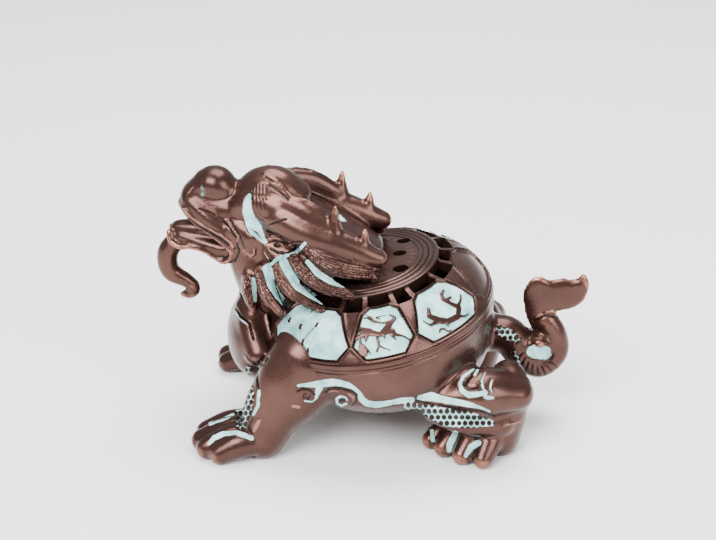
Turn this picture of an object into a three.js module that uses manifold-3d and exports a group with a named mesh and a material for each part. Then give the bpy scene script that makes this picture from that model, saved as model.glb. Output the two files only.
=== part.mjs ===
// Dragon turtle incense burner: a four-legged bowl under a pierced shell lid with a dragon's head.
// Millimetres, +Z up. The head looks towards -X, the near side is -Y, and the feet stand on z = 0.
import * as THREE from 'three';
import { mergeVertices } from 'three/addons/utils/BufferGeometryUtils.js';
import Module from 'manifold-3d';

const wasm = await Module();
wasm.setup();

// The seam between bowl and lid is an oval in a plane that rises towards the tail.
const SEAM_X = 9.5;
const SEAM_Z = 46.6;
const SEAM_PITCH = THREE.MathUtils.degToRad(10);
const SEAM_LONG = 49;
const WIDTH_RATIO = 1.17;
const FIT_GAP = 0.3;
const WALL = 3;
const ROUND_STEPS = 30;

// The outside of the shell from the rim to the crown: distance from its axis, height over the seam.
const SHELL_PROFILE = [
  [SEAM_LONG, FIT_GAP],
  [SEAM_LONG + 0.4, 4.8],
  [47.2, 10],
  [41.5, 17],
  [35, 21.2],
  [29.8, 22.8],
  [29.2, 24],
  [20, 24.9],
  [0, 25.6],
];

// The shell's hollow inside, open at the rim.
const HOLLOW_PROFILE = [
  [SEAM_LONG - WALL, -20],
  [SEAM_LONG - WALL - 0.2, 6],
  [39, 14],
  [29, 19.4],
  [0, 22.4],
];

// Eight framed panels run round the shell, as angles from the tail, on the far side.
const PANELS = [
  { from: -23, to: 23, topFrom: -10, topTo: 10 },
  { from: 23, to: 66, topFrom: 32, topTo: 57, beast: 'curled' },
  { from: 66, to: 99, topFrom: 71, topTo: 91, beast: 'leaping' },
  { from: 99, to: 153, topFrom: 108, topTo: 143 },
];
const PANEL_BOTTOM = 8;
const PANEL_TOP = 27.2;
const PANEL_DEPTH = 0.9;
const PANEL_FRAME = 1.6;
const PANEL_CHAMFER = 5;

// Relief beasts in the two side panels, as shares of the panel's half width and of its height.
const LEAPING_BEAST = [
  [-0.72, 0.66],
  [-0.5, 0.84],
  [-0.36, 0.6],
  [0.25, 0.62],
  [0.5, 0.88],
  [0.58, 0.6],
  [0.86, 0.2],
  [0.6, 0.26],
  [0.34, 0.44],
  [-0.02, 0.4],
  [-0.06, 0.12],
  [-0.26, 0.16],
  [-0.4, 0.46],
];
const CURLED_BEAST = [
  [-0.7, 0.42],
  [-0.5, 0.62],
  [-0.34, 0.44],
  [0.1, 0.5],
  [0.22, 0.86],
  [0.42, 0.9],
  [0.36, 0.52],
  [0.72, 0.36],
  [0.4, 0.3],
  [0.12, 0.34],
  [0.2, 0.12],
  [-0.04, 0.1],
  [-0.3, 0.28],
];

// The lattice between the panels and the disc, measured up the shell's side.
const LATTICE_BOTTOM = 28.4;
const LATTICE_TOP = 33.8;
const LATTICE_BAR = 2;
const DISC_HOLES = [
  { angle: 6, from: 12.6, radius: 2.7 },
  { angle: -41, from: 17.9, radius: 3.1 },
  { angle: 42, from: 18.5, radius: 2.6 },
];

// The bowl's upright oval: a share of the rim's size, at a height over the ground.
const BOWL_PROFILE = [
  [0, 17],
  [0.5, 18],
  [0.72, 21],
  [0.86, 25],
  [0.95, 31],
  [0.99, 38],
  [1, 90],
];
const BOWL_FLOOR = 20.5;

const ACROSS = new THREE.Vector3(0, 1, 0);

// Solids and meshes

function solidOf(geometry) {
  const bare = geometry.clone();
  bare.deleteAttribute('normal');
  bare.deleteAttribute('uv');
  const merged = mergeVertices(bare, 1e-4);
  const corners = merged.index.array;
  const kept = [];
  for (let i = 0; i < corners.length; i += 3) {
    const [a, b, c] = corners.slice(i, i + 3);
    if (a !== b && b !== c && c !== a) kept.push(a, b, c);
  }
  return new wasm.Manifold(new wasm.Mesh({
    numProp: 3,
    vertProperties: Float32Array.from(merged.attributes.position.array),
    triVerts: Uint32Array.from(kept),
  }));
}

function joined(solids) {
  return solids.reduce((whole, solid) => whole.add(solid));
}

function meshOf(name, solid, material) {
  const { vertProperties, triVerts } = solid.getMesh();
  const geometry = new THREE.BufferGeometry();
  geometry.setAttribute('position', new THREE.BufferAttribute(Float32Array.from(vertProperties), 3));
  geometry.setIndex(new THREE.BufferAttribute(Uint32Array.from(triVerts), 1));
  geometry.computeVertexNormals();
  const mesh = new THREE.Mesh(geometry, material);
  mesh.name = name;
  return mesh;
}

// A limb is a cylinder bent along a smooth line through its stations. Each station has a place,
// a half width along the across direction and a half depth square to it.
const CAP_TILTS = [56].map((degrees) => THREE.MathUtils.degToRad(degrees));

function limb(stations, { sides = 7, rows = stations.length, across = ACROSS, ends = 'round' } = {}) {
  const spine = curveThrough(stations.map((station) => station.at));
  const girth = curveThrough(stations.map(({ wide, deep = wide }) => [wide, deep, 0]));
  const rings = [];
  const capped = { start: ends === 'round' || ends === 'start', end: ends === 'round' || ends === 'end' };
  if (capped.start) CAP_TILTS.forEach((tilt) => rings.push({ t: 0, tilt: -tilt }));
  for (let row = 0; row < rows; row += 1) rings.push({ t: row / (rows - 1), tilt: 0 });
  if (capped.end) [...CAP_TILTS].reverse().forEach((tilt) => rings.push({ t: 1, tilt }));
  const geometry = new THREE.CylinderGeometry(1, 1, 1, sides, rings.length - 1);
  const places = geometry.attributes.position;
  const corner = new THREE.Vector3();
  for (let i = 0; i < places.count; i += 1) {
    corner.fromBufferAttribute(places, i);
    const ring = rings[Math.round((0.5 - corner.y) * (rings.length - 1))];
    const along = spine.getTangent(ring.t);
    const right = across.clone().addScaledVector(along, -across.dot(along)).normalize();
    const down = new THREE.Vector3().crossVectors(along, right);
    const { x: wide, y: deep } = girth.getPoint(ring.t);
    const shrink = Math.cos(ring.tilt);
    const place = spine.getPoint(ring.t)
      .addScaledVector(along, Math.sin(ring.tilt) * Math.min(wide, deep))
      .addScaledVector(right, corner.x * wide * shrink)
      .addScaledVector(down, corner.z * deep * shrink);
    places.setXYZ(i, place.x, place.y, place.z);
  }
  return solidOf(geometry);
}

function curveThrough(points) {
  return new THREE.CatmullRomCurve3(points.map((point) => new THREE.Vector3(...point)));
}

// The same limb on the near side (-1) or the far side (+1).
function sided(side, stations) {
  return stations.map((station) => ({ ...station, at: [station.at[0], side * station.at[1], station.at[2]] }));
}

function block(size, at) {
  const geometry = new THREE.BoxGeometry(...size);
  geometry.translate(...at);
  return solidOf(geometry);
}

// The shell's own frame is round, with the seam at height 0, and is then widened and pitched.
function placeOnSeam(geometry) {
  geometry.scale(1, WIDTH_RATIO, 1);
  geometry.rotateY(-SEAM_PITCH);
  geometry.translate(SEAM_X, 0, SEAM_Z);
  return geometry;
}

function turned(profile) {
  const outline = profile.map(([radius, height]) => new THREE.Vector2(radius, height));
  const geometry = new THREE.LatheGeometry(outline, ROUND_STEPS);
  geometry.rotateX(Math.PI / 2);
  return geometry;
}

// The profile moved inwards by a wall's thickness, or outwards by a negative one.
function shrunk(profile, thickness) {
  return profile.map(([radius, height]) => [
    radius === 0 ? 0 : Math.max(radius - thickness, 0),
    height - thickness,
  ]);
}

function domeSolid(thickness, floor) {
  const shape = shrunk(SHELL_PROFILE, thickness);
  shape[0][1] = floor;
  return solidOf(placeOnSeam(turned([[0, floor], ...shape])));
}

// A point on the shell: an angle from the tail, a way up its side, and a distance out of it.
function onShell(degrees, way, out) {
  let rest = way;
  let step = 1;
  let length = spanOf(step);
  while (rest > length && step < SHELL_PROFILE.length - 1) {
    rest -= length;
    step += 1;
    length = spanOf(step);
  }
  const [r0, h0] = SHELL_PROFILE[step - 1];
  const [r1, h1] = SHELL_PROFILE[step];
  const share = rest / length;
  const radius = r0 + (r1 - r0) * share + ((h1 - h0) / length) * out;
  const height = h0 + (h1 - h0) * share - ((r1 - r0) / length) * out;
  const angle = THREE.MathUtils.degToRad(degrees);
  return new THREE.Vector3(radius * Math.cos(angle), radius * Math.sin(angle), height);
}

function spanOf(step) {
  const [r0, h0] = SHELL_PROFILE[step - 1];
  const [r1, h1] = SHELL_PROFILE[step];
  return Math.hypot(r1 - r0, h1 - h0);
}

// A wedge stands on an outline drawn on the shell, as angles and ways up, and cuts through it.
const WEDGE_IN = 14;
const WEDGE_OUT = 14;

function wedge(outline) {
  const shape = new THREE.Shape(outline.map(([degrees, way]) => new THREE.Vector2(degrees, way)));
  const geometry = new THREE.ExtrudeGeometry(shape, { depth: 1, bevelEnabled: false });
  const places = geometry.attributes.position;
  for (let i = 0; i < places.count; i += 1) {
    const out = places.getZ(i) > 0.5 ? WEDGE_OUT : -WEDGE_IN;
    const place = onShell(places.getX(i), places.getY(i), out);
    places.setXYZ(i, place.x, place.y, place.z);
  }
  return solidOf(placeOnSeam(geometry));
}

function mirroredOutline(outline) {
  return outline.map(([degrees, way]) => [-degrees, way]).reverse();
}

// The lid's shell

function panelOutline(panel) {
  const frame = THREE.MathUtils.radToDeg(PANEL_FRAME / SEAM_LONG);
  const chamfer = THREE.MathUtils.radToDeg(PANEL_CHAMFER / SEAM_LONG);
  const from = panel.from + frame;
  const to = panel.to - frame;
  const shoulder = PANEL_BOTTOM + PANEL_CHAMFER;
  return [
    [from + chamfer, PANEL_BOTTOM],
    [(from + to) / 2, PANEL_BOTTOM],
    [to - chamfer, PANEL_BOTTOM],
    [to, shoulder],
    [panel.topTo, PANEL_TOP],
    [panel.topFrom, PANEL_TOP],
    [from, shoulder],
  ];
}

function panelRecesses() {
  const wedges = PANELS.flatMap((panel) => {
    const outline = panelOutline(panel);
    return panel.from < 0 ? [wedge(outline)] : [wedge(outline), wedge(mirroredOutline(outline))];
  });
  return joined(wedges).subtract(domeSolid(PANEL_DEPTH, -2)).subtract(joined(beasts()));
}

// The beasts stay at the shell's own height while the ground around them is cut down.
function beasts() {
  const figures = { leaping: LEAPING_BEAST, curled: CURLED_BEAST };
  return PANELS.filter((panel) => panel.beast).flatMap((panel) => {
    const middle = (panel.from + panel.to) / 2;
    const halfWidth = (panel.to - panel.from) / 2 - 4;
    const height = PANEL_TOP - PANEL_BOTTOM;
    const outline = figures[panel.beast].map(([share, rise]) => [
      middle - share * halfWidth,
      PANEL_BOTTOM + rise * height,
    ]);
    return [wedge(outline), wedge(mirroredOutline(outline))];
  });
}

// Each panel's top has one broad opening over it, and each rib between panels has a narrow one.
function latticeHoles() {
  const bar = THREE.MathUtils.radToDeg(LATTICE_BAR / 2 / 33);
  const holes = [];
  PANELS.forEach((panel, index) => {
    const over = [panel.topFrom + bar, panel.topTo - bar];
    holes.push(gate(over, over, LATTICE_BOTTOM));
    const next = PANELS[index + 1];
    const far = next ? next.topFrom : 360 - panel.topTo;
    const gap = [panel.topTo + bar, far - bar];
    holes.push(gate(gap, gap, LATTICE_BOTTOM - 2));
  });
  const front = [PANELS[3].topTo + LATTICE_BAR + 8, 180];
  holes.push(gate(front, front, LATTICE_BOTTOM));
  return joined(holes.flatMap((outline) => [wedge(outline), wedge(mirroredOutline(outline))]));
}

function gate(low, high, bottom) {
  return [
    [low[0], bottom],
    [low[1], bottom],
    [high[1], LATTICE_TOP],
    [high[0], LATTICE_TOP],
  ];
}

function discHoles() {
  return joined(DISC_HOLES.map(({ angle, from, radius }) => {
    const geometry = new THREE.CylinderGeometry(radius, radius, 16, 12);
    geometry.rotateX(Math.PI / 2);
    const turn = THREE.MathUtils.degToRad(angle);
    geometry.translate(from * Math.cos(turn), from * Math.sin(turn), 26);
    return solidOf(placeOnSeam(geometry));
  }));
}

function shell() {
  return domeSolid(0, FIT_GAP)
    .subtract(panelRecesses())
    .subtract(latticeHoles())
    .subtract(discHoles());
}

// The lid's dragon

function neckStations(extra) {
  return [
    { at: [-33, 0, 47], wide: 17 + extra, deep: 14 + extra },
    { at: [-37, 0, 59], wide: 19 + extra, deep: 13.5 + extra },
    { at: [-42, 0, 73], wide: 17, deep: 13 },
    { at: [-45, 0, 86], wide: 13, deep: 13 },
  ];
}

function skull() {
  return joined([
    limb([
      { at: [-34, 0, 93], wide: 11, deep: 9 },
      { at: [-44, 0, 94], wide: 13, deep: 9 },
      { at: [-54, 0, 94], wide: 11, deep: 8.5 },
      { at: [-65, 0, 97], wide: 8.5, deep: 8 },
    ], { sides: 10 }),
    limb([
      { at: [-52, 0, 99], wide: 7, deep: 5 },
      { at: [-60.5, 0, 104], wide: 8.5, deep: 7.4 },
      { at: [-62, 0, 103.5], wide: 8, deep: 7 },
    ]),
    limb([
      { at: [-67, 0, 104], wide: 6.5, deep: 3 },
      { at: [-70.5, 0, 99], wide: 8, deep: 3.6 },
      { at: [-69, 0, 93], wide: 8.5, deep: 3.6 },
      { at: [-62, 0, 89.5], wide: 9, deep: 3.2 },
    ]),
  ]);
}

function jaw() {
  return joined([
    limb([
      { at: [-46, 0, 78], wide: 11, deep: 7 },
      { at: [-57, 0, 80], wide: 10, deep: 6.5 },
      { at: [-67, 0, 82.5], wide: 8, deep: 5 },
      { at: [-75, 0, 83.5], wide: 5.5, deep: 4.6 },
    ]),
    limb([
      { at: [-75, 0, 80], wide: 4.5, deep: 4 },
      { at: [-81, 0, 72], wide: 4.5, deep: 4.6 },
      { at: [-80, 0, 63], wide: 4, deep: 4.2 },
      { at: [-73.5, 0, 59], wide: 3.4, deep: 3.2 },
      { at: [-70, 0, 55.5], wide: 2.8, deep: 2.6 },
      { at: [-72, 0, 52.6], wide: 2.2, deep: 2.2 },
      { at: [-75.5, 0, 52.6], wide: 1.6, deep: 1.6 },
    ], { sides: 7, rows: 8 }),
  ]);
}

function cheek(side) {
  return joined([
    limb(sided(side, [
      { at: [-69, 7, 95], wide: 2.4, deep: 3 },
      { at: [-62, 10, 89.5], wide: 2.6, deep: 3 },
      { at: [-55, 11.5, 84.5], wide: 2.6, deep: 3 },
      { at: [-50.5, 12, 78], wide: 2.4, deep: 2.6 },
      { at: [-53, 10.5, 73], wide: 2, deep: 2 },
    ]), { sides: 6 }),
    limb(sided(side, [
      { at: [-53, 10.5, 73], wide: 1.8 },
      { at: [-64, 8.5, 77.5], wide: 1.6 },
      { at: [-75, 5.5, 79.5], wide: 1.6 },
    ]), { sides: 5 }),
    limb(sided(side, [
      { at: [-49, 8, 88], wide: 7, deep: 7 },
      { at: [-42, 10, 85], wide: 8, deep: 9 },
    ])),
    limb(sided(side, [
      { at: [-46, 7, 97], wide: 5.5, deep: 5 },
      { at: [-40, 8.5, 101.5], wide: 6, deep: 6.5 },
      { at: [-31, 11, 100], wide: 6, deep: 6 },
    ])),
  ]);
}

function horn(side) {
  return joined([
    limb(sided(side, [
      { at: [-37, 12, 97], wide: 5.2, deep: 5.2 },
      { at: [-27, 17, 98], wide: 5.4, deep: 5.6 },
      { at: [-17, 20.5, 96.5], wide: 5.8, deep: 6.6 },
      { at: [-8, 21.5, 91], wide: 5.8, deep: 6.2 },
      { at: [1, 21.5, 85.5], wide: 5.4, deep: 5.4 },
      { at: [8, 21, 80.5], wide: 4, deep: 3.6 },
    ])),
    limb(sided(side, [
      { at: [-11, 21.5, 92], wide: 3.4 },
      { at: [-9.6, 21, 98.5], wide: 2 },
      { at: [-8.6, 20.5, 102.5], wide: 0.8 },
    ]), { sides: 6, rows: 2, ends: 'none' }),
    limb(sided(side, [
      { at: [0.5, 21.5, 85], wide: 3.2 },
      { at: [2.6, 21, 91], wide: 1.8 },
      { at: [4.2, 20.5, 94.5], wide: 0.8 },
    ]), { sides: 6, rows: 2, ends: 'none' }),
  ]);
}

// The mane lies over a bed that swells from the neck back onto the shell.
function maneBed() {
  return joined([
    limb([
      { at: [-40, 0, 84], wide: 16, deep: 12 },
      { at: [-30, 0, 76], wide: 23, deep: 14 },
      { at: [-17, 0, 69], wide: 27, deep: 10 },
    ], { sides: 12, rows: 4 }),
    limb([
      { at: [-36, 0, 95], wide: 12, deep: 9 },
      { at: [-21, 0, 88], wide: 19, deep: 9 },
      { at: [-6, 0, 81], wide: 20, deep: 7 },
      { at: [7, 0, 76], wide: 14, deep: 4 },
    ], { sides: 10, rows: 4 }),
  ]);
}

const MANE_LOCKS = [
  { root: [-19, 21, 85], middle: [-6, 26, 79], tip: [9, 23, 74.5] },
  { root: [-26, 23, 81], middle: [-13, 30, 74], tip: [0, 32, 69] },
  { root: [-32, 22.5, 77], middle: [-23, 30, 69.5], tip: [-12, 34, 64] },
  { root: [-38, 20, 73.5], middle: [-34, 27, 66], tip: [-29, 31, 60] },
  { root: [-44, 14, 70], middle: [-43.5, 19, 63], tip: [-42, 21, 56] },
];
const LOCK_WIDTH = 5;
const LOCK_DEPTH = 3.4;

function maneLock(side, { root, middle, tip }) {
  const outward = new THREE.Vector3(0.25, side, 0.45).normalize();
  const along = new THREE.Vector3(tip[0] - root[0], side * (tip[1] - root[1]), tip[2] - root[2]);
  const across = new THREE.Vector3().crossVectors(along, outward).normalize();
  return limb(sided(side, [
    { at: root, wide: LOCK_WIDTH * 0.8, deep: LOCK_DEPTH },
    { at: middle, wide: LOCK_WIDTH, deep: LOCK_DEPTH },
    { at: tip, wide: LOCK_WIDTH * 0.45, deep: LOCK_DEPTH * 0.5 },
  ]), { sides: 6, across });
}

function lid() {
  const dragon = joined([
    limb(neckStations(0), { sides: 10 }),
    skull(),
    jaw(),
    maneBed(),
    ...[-1, 1].flatMap((side) => [
      cheek(side),
      horn(side),
      ...MANE_LOCKS.map((lock) => maneLock(side, lock)),
    ]),
  ]);
  const hollow = solidOf(placeOnSeam(turned([[0, HOLLOW_PROFILE[0][1]], ...HOLLOW_PROFILE])));
  return shell().add(dragon).subtract(hollow);
}

// The body

function bowlSolid(inset, floorLift) {
  const shape = BOWL_PROFILE.map(([share, height]) => [
    share === 0 ? 0 : share * SEAM_LONG * Math.cos(SEAM_PITCH) - inset,
    height + floorLift,
  ]);
  const geometry = turned([...shape, [0, shape.at(-1)[1]]]);
  geometry.scale(1, WIDTH_RATIO, 1);
  geometry.translate(SEAM_X, 0, 0);
  return solidOf(geometry);
}

// Everything over the seam plane, where the lid rests.
function overSeam() {
  const geometry = new THREE.BoxGeometry(200, 200, 100);
  geometry.translate(0, 0, 50);
  geometry.rotateY(-SEAM_PITCH);
  geometry.translate(SEAM_X, 0, SEAM_Z);
  return solidOf(geometry);
}

function chest() {
  return joined([
    limb([
      { at: [-36, 0, 24], wide: 20, deep: 12 },
      { at: [-41.5, 0, 33], wide: 27, deep: 14 },
      { at: [-41.5, 0, 44], wide: 29, deep: 14 },
      { at: [-41.5, 0, 53], wide: 20, deep: 10 },
    ], { sides: 12, rows: 5 }),
    ...[-1, 1].map((side) => limb(sided(side, COLLAR))),
  ]);
}

// The collar runs down either side of the chest and ends in a round lobe beside the shell.
const COLLAR = [
  { at: [-47, 10, 52], wide: 5, deep: 5 },
  { at: [-43.5, 21, 47], wide: 5, deep: 5.5 },
  { at: [-39.5, 29, 39.5], wide: 4.6, deep: 6 },
];

// The shoulders fill the space between the chest, the forelegs and the bowl.
function shoulders() {
  return limb([
    { at: [-29, -34, 34], wide: 9, deep: 8 },
    { at: [-31, 0, 33], wide: 10, deep: 8 },
    { at: [-29, 34, 34], wide: 9, deep: 8 },
  ], { across: new THREE.Vector3(1, 0, 0) });
}

function frontLeg(side) {
  return limb(sided(side, [
    { at: [-17, 37, 42], wide: 14, deep: 17 },
    { at: [-24, 40, 32], wide: 12, deep: 16 },
    { at: [-33, 40.5, 19], wide: 10.5, deep: 12.5 },
    { at: [-37, 40, 8], wide: 11, deep: 10 },
  ]), { sides: 10, rows: 5 });
}

function toe(side, root, tip, thick) {
  const middle = root.map((value, axis) => value * 0.45 + tip[axis] * 0.55);
  middle[2] += 1.6;
  return limb(sided(side, [
    { at: root, wide: thick, deep: thick },
    { at: middle, wide: thick, deep: thick * 1.1 },
    { at: tip, wide: thick * 0.85, deep: thick * 0.9 },
  ]), { sides: 6, rows: 3 });
}

const FRONT_TOES = [
  { root: [-40, 31, 9], tip: [-62, 33, 4.2] },
  { root: [-40, 36, 9], tip: [-63, 40, 4.2] },
  { root: [-39, 41.5, 8.5], tip: [-60, 46, 4.2] },
  { root: [-36, 45, 8], tip: [-54, 50, 4.2] },
];

function hindLeg(side) {
  return joined([
    limb(sided(side, [
      { at: [66, 33, 29], wide: 11, deep: 8 },
      { at: [50, 40, 31], wide: 11, deep: 10 },
      { at: [33, 42, 29], wide: 8, deep: 5.5 },
    ])),
    limb(sided(side, [
      { at: [33, 41, 23], wide: 7, deep: 4.5 },
      { at: [46, 41, 19], wide: 8, deep: 6 },
      { at: [60, 36, 17], wide: 9, deep: 8 },
    ])),
    limb(sided(side, [
      { at: [64, 28, 31], wide: 11, deep: 8 },
      { at: [65, 29, 19], wide: 11, deep: 7.6 },
      { at: [61, 31, 6], wide: 11, deep: 9 },
    ])),
  ]);
}

const HIND_TOES = [
  { root: [46, 24, 9], tip: [33, 33, 3.6] },
  { root: [50, 28, 10], tip: [38, 39, 3.8] },
  { root: [55, 32, 11], tip: [45.5, 44.5, 3.8] },
  { root: [61, 34, 11], tip: [54, 47, 3.8] },
];

// The tail leaves the bowl, coils once and ends in a fan.
function tail() {
  return joined([
    limb([
      { at: [54, 0, 38], wide: 8.5, deep: 8 },
      { at: [64, 0, 37.5], wide: 8.5, deep: 8 },
      { at: [71, 0, 29.5], wide: 8.5, deep: 8 },
      { at: [79, 0, 23.6], wide: 7, deep: 6 },
      { at: [86, 0, 30], wide: 6, deep: 5 },
      { at: [84.5, 0, 39], wide: 5.5, deep: 5 },
      { at: [80, 0, 45], wide: 5, deep: 5.5 },
    ], { rows: 9 }),
    limb([
      { at: [78, -3, 33], wide: 6, deep: 6 },
      { at: [78, 3, 33], wide: 6, deep: 6 },
    ], { across: new THREE.Vector3(1, 0, 0), rows: 2 }),
    fan(),
  ]);
}

const FAN_OUTLINE = [
  [74, 43],
  [71.4, 52],
  [72.6, 61],
  [77, 67.4],
  [82.5, 68.2],
  [85.4, 64.8],
  [90.5, 64.2],
  [94.2, 66.6],
  [96.8, 62.5],
  [95.6, 56.5],
  [91.5, 52],
  [86.6, 48.8],
  [84, 43],
];
const FAN_THICKNESS = 4.4;

function fan() {
  const shape = new THREE.Shape(FAN_OUTLINE.map(([x, z]) => new THREE.Vector2(x, z)));
  const geometry = new THREE.ExtrudeGeometry(shape, {
    depth: FAN_THICKNESS - 2,
    bevelThickness: 1,
    bevelSize: 1,
    bevelOffset: -1,
    bevelSegments: 1,
  });
  geometry.rotateX(Math.PI / 2);
  geometry.translate(0, FAN_THICKNESS / 2 - 1, 0);
  return solidOf(geometry);
}

// Cloud scrolls in raised line lie along the belly and on the haunch.
const SCROLLS = [
  { at: [-18, 46.6, 34], radius: 4.6, turn: -1 },
  { at: [-6, 50.5, 33], radius: 4.2, turn: 1 },
];
const SCROLL_TURNS = 1.25;
const SCROLL_LINE = 1.5;

function scroll(side, { at: [x, y, z], radius, turn }) {
  const steps = 7;
  const points = [];
  for (let step = 0; step <= steps; step += 1) {
    const share = step / steps;
    const angle = turn * share * SCROLL_TURNS * 2 * Math.PI;
    const reach = radius * (1 - 0.75 * share);
    points.push({
      at: [x + reach * Math.cos(angle), y + reach * Math.sin(angle) * 0.3, z + reach * Math.sin(angle)],
      wide: SCROLL_LINE,
    });
  }
  return limb(sided(side, points), { sides: 5, rows: steps + 1 });
}

// The figure is in mid stride: the far forepaw is set in, and the far hock further forward.
const FAR_PAW_SHIFT = [0, -5, 0];
const FAR_HOCK_SHIFT = [-9, -1, 0];

function foreQuarter(side) {
  return joined([frontLeg(side), ...FRONT_TOES.map(({ root, tip }) => toe(side, root, tip, 5.4))]);
}

function hindQuarter(side) {
  return joined([hindLeg(side), ...HIND_TOES.map(({ root, tip }) => toe(side, root, tip, 4.8))]);
}

function body() {
  const underLid = joined([
    bowlSolid(0, 0),
    shoulders(),
    foreQuarter(-1),
    foreQuarter(1).translate(FAR_PAW_SHIFT),
    hindQuarter(-1),
    hindQuarter(1).translate(FAR_HOCK_SHIFT),
    ...[-1, 1].flatMap((side) => SCROLLS.map((middle) => scroll(side, middle))),
  ]);
  const lidRoom = bowlSolid(-2 * FIT_GAP, 0).intersect(overSeam());
  const ends = joined([chest(), tail()]).subtract(lidRoom);
  const outside = underLid.subtract(overSeam()).add(ends);
  const hollow = bowlSolid(WALL, BOWL_FLOOR - BOWL_PROFILE[0][1]);
  const ground = block([300, 200, 40], [0, 0, -20]);
  return outside
    .subtract(hollow)
    .subtract(ground);
}

// Materials and the finished group

const agedBronze = new THREE.MeshStandardMaterial({ color: 0x4a2a20, roughness: 0.38, metalness: 0.75 });

const lidSolid = lid();
const neckRoom = limb(neckStations(FIT_GAP + 0.2), { sides: 10 });
const shellRoom = domeSolid(-FIT_GAP - 0.1, 0);
const bodySolid = body().subtract(neckRoom).subtract(shellRoom);

const burner = new THREE.Group();
burner.add(meshOf('burner_body', bodySolid, agedBronze));
burner.add(meshOf('shell_lid', lidSolid, agedBronze));

// The origin is on the ground under the middle of the whole figure.
const reach = new THREE.Box3().setFromObject(burner);
burner.position.x = -(reach.min.x + reach.max.x) / 2;

export default burner;
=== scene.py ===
import math

import bpy
import numpy as np
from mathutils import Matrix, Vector


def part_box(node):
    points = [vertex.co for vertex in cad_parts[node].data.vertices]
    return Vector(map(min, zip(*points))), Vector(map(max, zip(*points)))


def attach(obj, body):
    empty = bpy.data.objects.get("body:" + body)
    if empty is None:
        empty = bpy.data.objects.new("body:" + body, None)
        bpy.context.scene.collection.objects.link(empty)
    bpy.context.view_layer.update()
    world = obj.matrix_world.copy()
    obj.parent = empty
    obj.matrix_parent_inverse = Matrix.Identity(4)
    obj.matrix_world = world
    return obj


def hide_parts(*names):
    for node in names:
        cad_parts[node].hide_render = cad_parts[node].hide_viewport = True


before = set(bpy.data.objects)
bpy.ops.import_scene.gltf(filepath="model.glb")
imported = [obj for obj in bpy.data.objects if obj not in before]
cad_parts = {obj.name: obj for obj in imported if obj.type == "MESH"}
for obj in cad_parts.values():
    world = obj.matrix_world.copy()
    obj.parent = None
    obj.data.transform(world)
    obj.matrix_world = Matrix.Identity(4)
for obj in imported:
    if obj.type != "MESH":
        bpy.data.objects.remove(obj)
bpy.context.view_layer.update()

# Forms are modelled in millimetres on the drawing's own origin, under the middle of the shell.
# A finished piece is then brought to metres and to the frame, which is centred on the whole.
metresPerMm = 0.001
mostTriangles = 194000


# Selecting, joining and finishing

def selectOnly(*pieces):
    bpy.ops.object.select_all(action="DESELECT")
    for piece in pieces:
        piece.select_set(True)
    bpy.context.view_layer.objects.active = pieces[0]


def applyModifier(piece, kind, **settings):
    selectOnly(piece)
    modifier = piece.modifiers.new(kind, kind)
    for name, value in settings.items():
        setattr(modifier, name, value)
    bpy.ops.object.modifier_apply(modifier=modifier.name)
    return piece


def joined(pieces, name):
    selectOnly(*pieces)
    bpy.ops.object.join()
    pieces[0].name = name
    return pieces[0]


def combine(piece, tool, operation="UNION"):
    applyModifier(piece, "BOOLEAN", solver="MANIFOLD", operation=operation, object=tool)
    bpy.data.objects.remove(tool)
    return piece


def fused(pieces, voxel, rounds, name):
    piece = joined(pieces, name)
    applyModifier(piece, "REMESH", mode="VOXEL", voxel_size=voxel, use_smooth_shade=True)
    if rounds:
        applyModifier(piece, "SMOOTH", factor=0.5, iterations=rounds)
    return piece


# Thins a piece to the most triangles it may have, first where its surface is flattest.
def thinned(piece, most):
    piece.data.calc_loop_triangles()
    triangles = len(piece.data.loop_triangles)
    if triangles > most:
        applyModifier(piece, "DECIMATE", ratio=most / triangles)
    return piece


def readPoints(piece):
    points = np.zeros(len(piece.data.vertices) * 3)
    piece.data.vertices.foreach_get("co", points)
    return points.reshape(-1, 3)


def writePoints(piece, points):
    piece.data.vertices.foreach_set("co", np.ascontiguousarray(points, float).ravel())
    piece.data.update()


def readNormals(piece):
    normals = np.zeros(len(piece.data.vertices) * 3)
    piece.data.vertex_normals.foreach_get("vector", normals)
    return normals.reshape(-1, 3)


def faceCentres(piece):
    centres = np.zeros(len(piece.data.polygons) * 3)
    piece.data.polygons.foreach_get("center", centres)
    return centres.reshape(-1, 3)


# Each corner of a face keeps its own tones, so that a join or a cut carries them along:
# patina is the blue green bloom; the second tone runs from -1 (dark tone, and painted shade in
# hollows and grooves) to 1 (rubbed copper, and painted highlight on crests and edges).
def setTones(piece, patina=0.0, wearAndPaintedLight=0.0):
    corners = np.zeros(len(piece.data.loops), np.int32)
    piece.data.loops.foreach_get("vertex_index", corners)
    for name, value in (("patina", patina), ("wearAndPaintedLight", wearAndPaintedLight)):
        values = np.broadcast_to(np.asarray(value, np.float32), len(piece.data.vertices))
        layer = piece.data.attributes.get(name)
        layer = layer or piece.data.attributes.new(name, "FLOAT", "CORNER")
        layer.data.foreach_set("value", np.ascontiguousarray(values[corners]))
    return piece


def readTone(piece, name):
    corners = np.zeros(len(piece.data.loops), np.int32)
    piece.data.loops.foreach_get("vertex_index", corners)
    values = np.zeros(len(corners), np.float32)
    piece.data.attributes[name].data.foreach_get("value", values)
    tone = np.zeros(len(piece.data.vertices))
    tone[corners] = values
    return tone


# Adds vertices to the chosen faces, as many cuts to an edge as asked for.
def refine(piece, chosen, cuts=1):
    selectOnly(piece)
    bpy.ops.object.mode_set(mode="EDIT")
    bpy.ops.mesh.select_mode(type="FACE")
    bpy.ops.mesh.select_all(action="DESELECT")
    bpy.ops.object.mode_set(mode="OBJECT")
    piece.data.polygons.foreach_set("select", chosen)
    bpy.ops.object.mode_set(mode="EDIT")
    bpy.ops.mesh.subdivide(number_cuts=cuts)
    bpy.ops.object.mode_set(mode="OBJECT")


# Shapes of a number

def ramp(low, high, value):
    share = np.clip((value - low) / (high - low), 0, 1)
    return share * share * (3 - 2 * share)


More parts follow.
